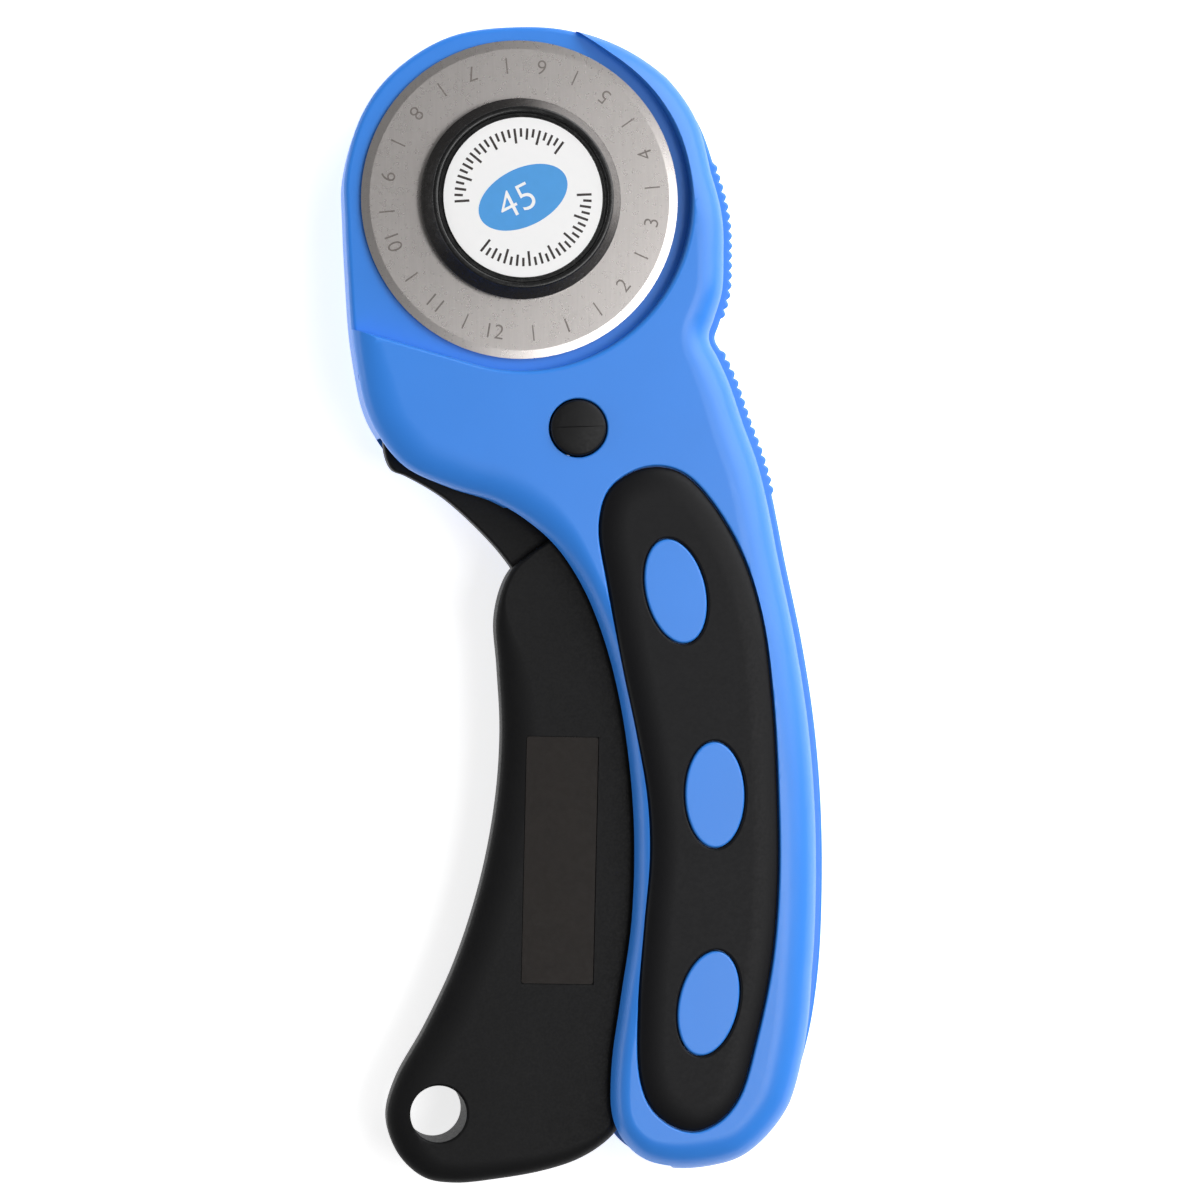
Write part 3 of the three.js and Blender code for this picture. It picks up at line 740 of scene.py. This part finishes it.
class CutterColours(bpy.types.PropertyGroup):
    """The colours that a user would change."""

    blue: bpy.props.FloatVectorProperty(
        name="Shells", description="Colour of the moulded shells", subtype="COLOR", size=4, min=0, max=1,
        default=linear("358bf0"),
    )
    black: bpy.props.FloatVectorProperty(
        name="Lever", description="Colour of the lever, the knob and the button", subtype="COLOR", size=4,
        min=0, max=1, default=linear("121213"),
    )
    rubber: bpy.props.FloatVectorProperty(
        name="Rubber", description="Colour of the handle's inlays", subtype="COLOR", size=4, min=0, max=1,
        default=linear("131315"),
    )
    ink: bpy.props.FloatVectorProperty(
        name="Label print", description="Colour of the oval on the label", subtype="COLOR", size=4,
        min=0, max=1, default=linear("4a9fe6"),
    )


# ---------------------------------------------------------------- pieces


class CUTTER_OT_shells(bpy.types.Operator):
    """Build the two moulded shells with their rib, recesses and ovals"""

    bl_idname = "cutter.shells"
    bl_label = "Shells"

    def half(self, is_rear, ridge_round):
        """One shell before its own openings. Its tools overlap by small steps, so that no faces coincide."""

        def side(levels):
            return reflected(levels) if is_rear else levels

        wall_edge, pocket_edge, oval_edge = 0.6, 0.3, 0.35
        post_radius, pin_hole = 4.7, 2.6
        body = body_rim()
        leaned = inset(body, [lean(index / RIM_STEPS) for index in range(len(body))])
        widths, heights = by_place(RIM_ROUNDING, RIM_STEPS)
        levels = rings(leaned if is_rear else body, PARTING, SHELL_FRONT, high_rim=(widths, heights), steps=9)
        levels[0] = [(*point, PARTING) for point in leaned]
        shell = loft(side(levels))
        if not is_rear:
            wall_top = flared(recess(0), PARTING - 1, SHELL_FRONT, wall_edge, wall_edge)
            combine(shell, "DIFFERENCE", loft(wall_top))
            combine(shell, "UNION", self.head_floor(body, leaned))
        rib = rings(ridged_rim(0.06), PARTING, RIB_TOP, high_rim=(ridge_round, ridge_round), steps=4)
        combine(shell, "UNION", loft(side(rib)))

        hollow = loft(side(rings(inset(body, WALL), PARTING - 1, GRIP_CEILING)))
        combine(hollow, "UNION", loft(side(rings(SQUEEZED_EXIT, PARTING - 1.1, GRIP_CEILING - 0.01))))
        arm_opening = GRIP_CEILING - 0.02 if is_rear else ARM_CEILING
        combine(hollow, "UNION", loft(side(rings(ARM_EXIT, PARTING - 1.2, arm_opening))))
        if not is_rear:
            combine(hollow, "DIFFERENCE", loft(rings(recess(WALL), HEAD_CEILING, SHELL_FRONT)))
        combine(shell, "DIFFERENCE", hollow)

        pocket = flared(smooth(RUBBER_RIM, 6), POCKET_FLOOR, SHELL_FRONT, pocket_edge, pocket_edge)
        combine(shell, "DIFFERENCE", loft(side(pocket)))
        ovals = [
            loft(side(rings(
                ellipse(centre, OVAL_WIDTH / 2, OVAL_LENGTH / 2, tilt, 72), POCKET_FLOOR - 0.5, OVAL_TOP,
                high_rim=(oval_edge, oval_edge), steps=5,
            )))
            for centre, tilt in OVALS
        ]
        combine(shell, "UNION", gathered(ovals))

        post = rings(circle(PIVOT, post_radius), ARM_CEILING, GRIP_CEILING + 0.5)
        combine(shell, "UNION", loft(side(post)))
        bore = rings(circle(PIVOT, pin_hole), ARM_CEILING - 0.8, GRIP_CEILING - 0.1)
        combine(shell, "DIFFERENCE", loft(side(bore)))
        return shell

    def head_floor(self, body, leaned):
        """The low part of the head: its rim has a small rounding, and it runs on under the raised wall."""
        first, last = 47 * RIM_STEPS, round(8.4 * RIM_STEPS)  # places in the silhouette
        under = [head(angle, 2.6) for angle in range(243, 368, 4)]
        low, edge = PARTING + 0.05, 0.8

        def outline(line):
            buried = inset(line, 0.03)
            return buried[first:] + buried[:last] + under

        levels = rings(outline(body), low, HEAD_FLOOR, high_rim=(edge, edge), steps=6)
        levels[0] = [(*point, low) for point in outline(leaned)]
        return loft(levels)

    def execute(self, context):
        sizes = context.scene.cutter_sizes
        blue = finish("satin_moulded_abs_blue")
        ridge_round = sizes.ridge_round / MM

        front = self.half(False, ridge_round)
        stud_slot = rings(capsule(ORIGIN, TRAVELLED, 6.3), MIDDLE, SHELL_FRONT)
        button_hole = flared(circle(BUTTON, 4.15, 64), MIDDLE, SHELL_FRONT, 0.25, 0.25)
        combine(front, "DIFFERENCE", loft(stud_slot), loft(button_hole))
        piece(front, "front_shell_moulding", "frame", "blue_plastic", blue, "front_shell")

        rear = self.half(True, ridge_round)
        rear_face, dish_floor = behind(SHELL_FRONT), 2.6
        plate = rings(circle(ORIGIN, 20.2, 72), rear_face + 0.02, 4.8)
        combine(rear, "UNION", loft(plate))
        dish = flared(circle(ORIGIN, 18, 96), dish_floor, rear_face, 0.5, -0.5)
        nut_window = flared(capsule(ORIGIN, TRAVELLED, 10), MIDDLE, dish_floor, 0.4, -0.4)
        combine(rear, "DIFFERENCE", loft(dish), loft(nut_window))
        collar = rod(BUTTON, 4.9, dish_floor, 6.2)
        combine(rear, "UNION", collar)
        button_hole = flared(circle(BUTTON, 3.6, 64), MIDDLE, rear_face, 0.3, -0.3)
        screw_seats = gathered([rod(at, 2.3, rear_face - 1.6, 2.7, 32) for at in SCREWS])
        combine(rear, "DIFFERENCE", loft(button_hole), screw_seats)
        piece(rear, "rear_shell_moulding", "frame", "blue_plastic", blue, "rear_shell")
        return {"FINISHED"}


class CUTTER_OT_grips(bpy.types.Operator):
    """Build the rubber inlays of the handle, with openings for the ovals"""

    bl_idname = "cutter.grips"
    bl_label = "Rubber inlays"

    def inlay(self, seam, crown, is_rear):
        """A crowned pad that rolls down to the seam."""
        line = inset(smooth(RUBBER_RIM, 8), seam)
        ways = inward(line)
        upright, rise, steps = 17.7, 1.3, 16
        fullness = 0.9  # below 1, the roll is fuller than a quarter of an ellipse
        levels = [[(*point, height) for point in line] for height in (POCKET_FLOOR + 0.05, upright)]
        for step in range(1, steps + 1):
            turn = math.pi / 2 * step / steps
            depth = crown * (1 - math.cos(turn))
            height = upright + rise * math.sin(turn) ** fullness
            levels.append([(*(point + way * depth), height) for point, way in zip(line, ways)])
        pad = loft(reflected(levels) if is_rear else levels)
        edge = 0.3
        for centre, tilt in OVALS:
            opening = ellipse(centre, OVAL_WIDTH / 2 + seam, OVAL_LENGTH / 2 + seam, tilt, 72)
            tool = flared(opening, 16, 18.98, edge, edge)
            combine(pad, "DIFFERENCE", loft(reflected(tool) if is_rear else tool))
        return pad

    def execute(self, context):
        sizes = context.scene.cutter_sizes
        for name, is_rear in (("front_grip", False), ("rear_grip", True)):
            pad = self.inlay(sizes.seam / MM, sizes.crown / MM, is_rear)
            piece(pad, f"{name}_inlay", "frame", "grip_rubber", finish("moulded_rubber_black"), name)
        return {"FINISHED"}


class CUTTER_OT_lever(bpy.types.Operator):
    """Build the squeezed lever with its arm, its hanging hole and its film plaque"""

    bl_idname = "cutter.lever"
    bl_label = "Lever"

    def execute(self, context):
        steps = 7
        low, high = 4.5, 14.5
        squeezed = rings(
            smooth(SQUEEZED_RIM, steps), low, high, low_rim=(1.2, 7), high_rim=by_place(LEVER_ROUNDING, steps)
        )
        lever = loft(squeezed)
        arm = rings(smooth(ARM_RIM, 6), 6.5, 12.5, low_rim=(0.6, 4), high_rim=(0.4, 0.4), steps=6)
        combine(lever, "UNION", loft(arm), rod(ORIGIN, 6, 10, 15.3))

        # The holes for hanging it up, for the pin and for the stud go right through.
        below, above = 0, 20
        outer, edge = 4.4, 0.4
        hole = turning([
            [0, high + 1.5], [outer, high + 1.5], *arc((outer, high - edge), edge, 90, 180),
            *arc((outer, low + edge), edge, 180, 270), [outer, low - 1.5], [0, low - 1.5],
        ], HANGING_EYE)
        combine(lever, "DIFFERENCE", hole, rod(PIVOT, 2.65, below, above), rod(ORIGIN, 3.2, below, above))

        # The slot for the button's stem, with a round seat for its wide part at either end of the travel.
        locked, seat = turned(BUTTON, PIVOT, -LEVER_TRAVEL), 2.35
        combine(lever, "DIFFERENCE", loft(rings(capsule(BUTTON, locked, 1.8), below, above)))
        combine(lever, "DIFFERENCE", rod(BUTTON, seat, below, above), rod(locked, seat, below, above))

        centre, tilt = grip(5.85, 0.54), -1.3
        width, length, gap = 10.2, 35, 0.2
        bed = block(centre, (width + gap, length + gap), high - 0.3, high + 1.5, tilt)
        combine(lever, "DIFFERENCE", bed)
        piece(lever, "lever_moulding", "lever", "black_plastic", finish("spark_eroded_abs_black"), "lever")

        film = bmesh.new()
        bmesh.ops.create_cube(film, size=1)
        bmesh.ops.scale(film, vec=(width, length, 0.16), verts=film.verts)
        upright = [edge for edge in film.edges if abs(edge.verts[0].co.z - edge.verts[1].co.z) > 0.1]
        bmesh.ops.bevel(film, geom=upright, offset=0.4, affect="EDGES", segments=4, profile=0.5, material=-1)
        bmesh.ops.rotate(film, matrix=Matrix.Rotation(math.radians(tilt), 3, "Z"), verts=film.verts)
        bmesh.ops.translate(film, vec=(*centre, high - 0.18), verts=film.verts)
        film = object_of(film, "film")
        embossed = finish("embossed_plastic_film")
        piece(film, "lever_plaque_film", "lever", "plaque_film", embossed, "lever_plaque")
        return {"FINISHED"}


CAPITAL_SHARE = 0.7  # a numeral's height as a share of the type's size
THINNING = -0.012  # how far its strokes shrink, as a share of its height


def lettering(text, height, name):
    """A numeral as a flat mesh, centred on the origin, this many millimetres tall."""
    curve = bpy.data.curves.new(name, "FONT")
    curve.body = text
    curve.align_x, curve.align_y = "CENTER", "CENTER"
    curve.size = height / CAPITAL_SHARE
    curve.offset = THINNING * height
    made = bpy.data.objects.new(name, curve)
    bpy.context.scene.collection.objects.link(made)
    graph = bpy.context.evaluated_depsgraph_get()
    mesh = bpy.data.meshes.new_from_object(made.evaluated_get(graph))
    bpy.data.objects.remove(made)
    bpy.data.curves.remove(curve)
    shape = bmesh.new()
    shape.from_mesh(mesh)
    bpy.data.meshes.remove(mesh)
    bmesh.ops.remove_doubles(shape, verts=shape.verts, dist=1e-4)
    middle = sum((vert.co for vert in shape.verts), Vector()) / len(shape.verts)
    low = min(vert.co.y for vert in shape.verts)
    high = max(vert.co.y for vert in shape.verts)
    bmesh.ops.translate(shape, vec=(-middle.x, -(low + high) / 2, 0), verts=shape.verts)
    return shape


def printed(flats, low, thickness, name):
    """Flat shapes, each [shape, centre, tilt], as one thin raised mesh."""
    whole = bmesh.new()
    for shape, centre, tilt in flats:
        bmesh.ops.rotate(shape, matrix=Matrix.Rotation(math.radians(tilt), 3, "Z"), verts=shape.verts)
        bmesh.ops.translate(shape, vec=(*centre, low), verts=shape.verts)
        mesh = bpy.data.meshes.new(name)
        shape.to_mesh(mesh)
        shape.free()
        whole.from_mesh(mesh)
        bpy.data.meshes.remove(mesh)
    bmesh.ops.recalc_face_normals(whole, faces=whole.faces)
    raised = bmesh.ops.extrude_face_region(whole, geom=whole.faces[:], use_keep_orig=True)
    moved = [part for part in raised["geom"] if isinstance(part, bmesh.types.BMVert)]
    bmesh.ops.translate(whole, vec=(0, 0, thickness), verts=moved)
    bmesh.ops.recalc_face_normals(whole, faces=whole.faces)
    return object_of(whole, name)


def stroke(width, length):
    """A flat upright bar, centred on the origin."""
    shape = bmesh.new()
    bmesh.ops.create_grid(shape, x_segments=1, y_segments=1, size=0.5)
    bmesh.ops.scale(shape, vec=(width, length, 1), verts=shape.verts)
    return shape


def oval(half_length, half_width):
    """A flat oval, centred on the origin."""
    shape = bmesh.new()
    bmesh.ops.create_circle(shape, cap_ends=True, radius=1, segments=64)
    bmesh.ops.scale(shape, vec=(half_length, half_width, 1), verts=shape.verts)
    return shape


class CUTTER_OT_blade(bpy.types.Operator):
    """Build the ground blade with its bevel, and the numerals and ticks stamped on it"""

    bl_idname = "cutter.blade"
    bl_label = "Blade"

    def execute(self, context):
        sizes = context.scene.cutter_sizes
        radius = sizes.blade_diameter / MM / 2
        low, high = (corner.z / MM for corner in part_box("blade"))
        centre, bevel, bore = (low + high) / 2, 1.2, 4
        blade = turning([
            [bore, low], [radius - bevel, low], [radius, centre - 0.01], [radius, centre + 0.01],
            [radius - bevel, high], [bore, high],
        ], name="blade", sides=180)
        piece(blade, "ground_blade", "blade", "blade_steel", finish("ground_tool_steel"), "blade", sharp=3)

        marks = []
        last_numeral, pitch, inside = 260.7, 30, 18.95 - BLADE_RADIUS
        for number in range(1, 13):
            angle = last_numeral + pitch * number
            halfway = angle + pitch / 2
            numeral = lettering(str(number), sizes.numeral_height / MM, "numeral")
            marks.append([numeral, head(angle, inside), angle + 90])
            marks.append([stroke(0.2, 2.2), head(halfway, inside), halfway + 90])
        stamped = printed(marks, high - 0.01, 0.03, "marks")
        piece(stamped, "blade_marks", "blade", "blade_steel", finish("stamped_tool_steel"))
        return {"FINISHED"}


class CUTTER_OT_bolt(bpy.types.Operator):
    """Build the bolt's moulded head and the printed label in its recess"""

    bl_idname = "cutter.bolt"
    bl_label = "Bolt head and label"

    def execute(self, context):
        sizes = context.scene.cutter_sizes
        radius = sizes.knob_diameter / MM / 2
        label = sizes.label_diameter / MM / 2
        foot, top = 16.2, 20.4
        floor = top - 0.8
        pocket = label + 0.75
        stud, sleeve = 3.3, 3.7
        knob = turning([
            [0, foot + 2.1], [stud, foot + 2.1], [stud, foot - 0.7], [sleeve, foot - 0.7], [sleeve, foot],
            [radius - 0.2, foot], *arc((radius - 0.25, foot + 0.3), 0.25, -60, 0, 3),
            [radius, foot + 0.9], *arc((radius - 0.5, foot + 1.1), 0.5, 10, 45, 3),
            *arc((12.5, top - 0.5), 0.5, 50, 90, 4),
            *arc((pocket + 0.2, top - 0.2), 0.2, 90, 180, 3),
            [pocket, floor + 0.15], [pocket - 0.15, floor],
            [label + 0.35, floor], [label + 0.3, floor - 0.12], [label + 0.15, floor - 0.12],
            [label + 0.1, floor], [0, floor],
        ], name="knob", sides=128)
        piece(knob, "bolt_head_moulding", "lever", "gloss_black", finish("polished_abs_black"), "bolt_head")

        paper_top = floor + 0.4
        paper_foot, edge = floor + 0.15, 0.03
        paper = turning([
            [0, paper_foot], [label, paper_foot], [label, paper_top - edge], [label - edge, paper_top],
            [0, paper_top],
        ], name="paper", sides=128)
        piece(paper, "bolt_label_paper", "lever", "label_paper", finish("coated_label_paper"), "bolt_label")
        tilt, ink = 27, 0.012
        printing = paper_top - 0.005
        badge = printed([[oval(6.75, 4.05), ORIGIN, tilt]], printing, ink, "badge")
        piece(badge, "bolt_label_oval", "lever", "label_paper", finish("printed_ink_blue"))
        size = printed([[lettering("45", 3.9, "size"), ORIGIN, tilt]], paper_top + 0.004, ink, "size")
        piece(size, "bolt_label_numeral", "lever", "label_paper", finish("coated_label_paper"))

        strokes = []
        outer, count, lengths = 9.7, 24, (2.1, 1.2, 1.6, 1.2)
        for first, last in ((54, 184), (232, 363)):
            for step in range(count + 1):
                angle = first + (last - first) * step / count
                length = lengths[step % len(lengths)]
                place = head(angle, outer - length / 2 - BLADE_RADIUS)
                strokes.append([stroke(0.34, length), place, angle + 90])
        scale = printed(strokes, printing, ink, "scale")
        piece(scale, "bolt_label_scale", "lever", "label_paper", finish("printed_ink_black"))
        return {"FINISHED"}


class CUTTER_OT_nut(bpy.types.Operator):
    """Build the fluted nut behind the blade"""

    bl_idname = "cutter.nut"
    bl_label = "Nut"

    def execute(self, context):
        radius, flute, reach, flutes, per_flute = 9, 2, 10.2, 8, 24
        line = []
        for index in range(flutes * per_flute):
            turn = 2 * math.pi * index / (flutes * per_flute)
            off = (turn + math.pi / flutes) % (2 * math.pi / flutes) - math.pi / flutes
            across = reach * math.sin(off)
            out = radius
            if abs(across) < flute:
                out = min(radius, reach * math.cos(off) - math.sqrt(flute**2 - across**2))
            line.append(Vector((out * math.cos(turn), out * math.sin(turn))))
        cap = loft(rings(line, 0, 5.1, low_rim=(0.7, 0.7), high_rim=(0.5, 0.5), steps=5))
        across_flats, gap = 10, 0.15
        combine(cap, "DIFFERENCE", rod(ORIGIN, across_flats / math.sqrt(3) + gap, 1.4, 7, 6))
        ring = turning([[5.4, -1], [5.4, 0.3], [5.7, 0.5], [6.1, 0.5], [6.4, 0.3], [6.4, -1]])
        combine(cap, "DIFFERENCE", ring)
        piece(cap, "nut_knob_moulding", "nut", "gloss_black", finish("moulded_acetal_black"), "nut_knob")
        return {"FINISHED"}


class CUTTER_OT_button(bpy.types.Operator):
    """Build the lock button's two caps"""

    bl_idname = "cutter.button"
    bl_label = "Lock button"

    def execute(self, context):
        black = finish("moulded_acetal_black")
        top, cap, edge = 19.2, 3.95, 0.5
        stem, wide = 1.5, 2.2
        front = turning([
            [0, 3.9], [stem, 3.9], [stem, 12.8], [wide, 12.8], [wide, 15.6], [cap, 15.6],
            *arc((cap - edge, top - 0.75), edge, 0, 75, 6), [2.6, top - 0.17], [1.3, top - 0.05], [0, top],
        ], BUTTON, "button", 72)
        parting_line = block(BUTTON + Vector((0, 0.15)), (9, 0.13), top - 0.3, top + 1, 2)
        combine(front, "DIFFERENCE", parting_line)
        piece(front, "lock_button_moulding", "button", "black_plastic", black, "lock_button")
        rear = turning([
            [0, 2.9], [2.6, 2.95], *arc((2.9, 3.4), edge, -70, 0, 5), [3.4, 5.9], [1.8, 5.9],
            [1.8, 3.6], [0, 3.6],
        ], BUTTON, "button", 64)
        piece(rear, "lock_button_rear_moulding", "button", "black_plastic", black, "lock_button_rear")
        return {"FINISHED"}


class CUTTER_OT_screws(bpy.types.Operator):
    """Build the screws that hold the shells together"""

    bl_idname = "cutter.screws"
    bl_label = "Shell screws"

    def execute(self, context):
        low, head_top, tip = 0.9, 2.4, 12
        shank, edge = 1.1, 0.55
        slot_width, slot_length, slot_depth = 0.62, 2.5, 0.9
        for index, at in enumerate(SCREWS):
            screw = turning([
                [0, low], [1.3, low + 0.03], *arc((1.45, low + edge), edge, -80, 0, 5), [2, head_top],
                [shank, head_top], [shank, tip - 1], [0, tip],
            ], at, "screw", 40)
            tilt = 20 + 47 * index
            for size in ((slot_width, slot_length), (slot_length, slot_width)):
                combine(screw, "DIFFERENCE", block(at, size, low - 1, low + slot_depth, tilt))
            name = f"shell_screw_{index + 1}"
            piece(screw, f"{name}_turned", "frame", "plated_steel", finish("zinc_plated_steel"), name)
        return {"FINISHED"}


class CUTTER_OT_steelwork(bpy.types.Operator):
    """Give the carried-over steel parts their finish"""

    bl_idname = "cutter.steelwork"
    bl_label = "Steel parts"

    def execute(self, context):
        for name in ("pivot_pin", "return_spring", "bolt_stud", "spring_washer", "nut_insert"):
            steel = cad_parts[name]
            steel.data.materials.clear()
            steel.data.materials.append(finish("zinc_plated_steel"))
        return {"FINISHED"}


class CUTTER_OT_stage(bpy.types.Operator):
    """Set up the floor, the soft lights and the camera"""

    bl_idname = "cutter.stage"
    bl_label = "Stage"

    def light(self, name, place, target, size, power):
        """A soft light of this width and height that faces the target."""
        data = bpy.data.lights.new(name, "AREA")
        data.shape, data.energy = "RECTANGLE", power
        data.size, data.size_y = size
        lamp = bpy.data.objects.new(name, data)
        lamp.location = place
        lamp.rotation_euler = (target - place).to_track_quat("-Z", "Y").to_euler()
        bpy.context.scene.collection.objects.link(lamp)

    def execute(self, context):
        scene = context.scene
        shape = bmesh.new()
        half_width, gap = 3000, 0.05
        bmesh.ops.create_grid(shape, x_segments=1, y_segments=1, size=half_width)
        bmesh.ops.translate(shape, vec=(0, 0, -gap), verts=shape.verts)
        floor = object_of(shape, "floor")
        floor.data.materials.append(finish("lit_acrylic_white"))

        target = Vector((0.0114, -0.0566, 0.0158))  # a place on the cutter, halfway down
        self.light("key light", Vector((0.55, 0.34, 0.42)), target, (0.9, 0.66), 6.0)
        self.light("left strip", Vector((-0.72, 0.0, 0.17)), target, (1.0, 0.06), 1.2)
        self.light("overhead panel", Vector((0.31, -0.15, 0.78)), target, (0.46, 0.34), 2.15)
        world = bpy.data.worlds.new("studio")
        world.use_nodes = True
        background = world.node_tree.nodes["Background"]
        background.inputs["Color"].default_value = (1, 1, 1, 1)
        background.inputs["Strength"].default_value = 0.2
        scene.world = world
        scene.view_settings.view_transform = "Standard"

        data = bpy.data.cameras.new("camera")
        data.lens, data.sensor_width = 150, 36
        camera = bpy.data.objects.new("camera", data)
        camera.location = (-0.07491, -0.0566, 0.71874)
        camera.rotation_euler = (0, math.radians(-7), 0)
        scene.collection.objects.link(camera)
        scene.camera = camera
        return {"FINISHED"}


class CUTTER_PT_panel(bpy.types.Panel):
    """Lists the sizes, the colours and the pieces"""

    bl_idname = "CUTTER_PT_panel"
    bl_label = "Rotary cutter"
    bl_space_type = "VIEW_3D"
    bl_region_type = "UI"
    bl_category = "Cutter"

    def draw(self, context):
        for settings in (context.scene.cutter_sizes, context.scene.cutter_colours):
            for name in settings.__annotations__:
                self.layout.prop(settings, name)
        for operator in OPERATORS:
            self.layout.operator(operator.bl_idname)


OPERATORS = (
    CUTTER_OT_stage, CUTTER_OT_shells, CUTTER_OT_grips, CUTTER_OT_lever, CUTTER_OT_blade, CUTTER_OT_bolt,
    CUTTER_OT_nut, CUTTER_OT_button, CUTTER_OT_screws, CUTTER_OT_steelwork,
)
CLASSES = (CutterSizes, CutterColours, *OPERATORS, CUTTER_PT_panel)


def register():
    for each in CLASSES:
        bpy.utils.register_class(each)
    bpy.types.Scene.cutter_sizes = bpy.props.PointerProperty(type=CutterSizes)
    bpy.types.Scene.cutter_colours = bpy.props.PointerProperty(type=CutterColours)


def unregister():
    del bpy.types.Scene.cutter_colours
    del bpy.types.Scene.cutter_sizes
    for each in reversed(CLASSES):
        bpy.utils.unregister_class(each)


def main():
    register()
    for operator in OPERATORS:
        getattr(bpy.ops.cutter, operator.bl_idname.split(".")[1])()


if __name__ == "__main__":
    main()
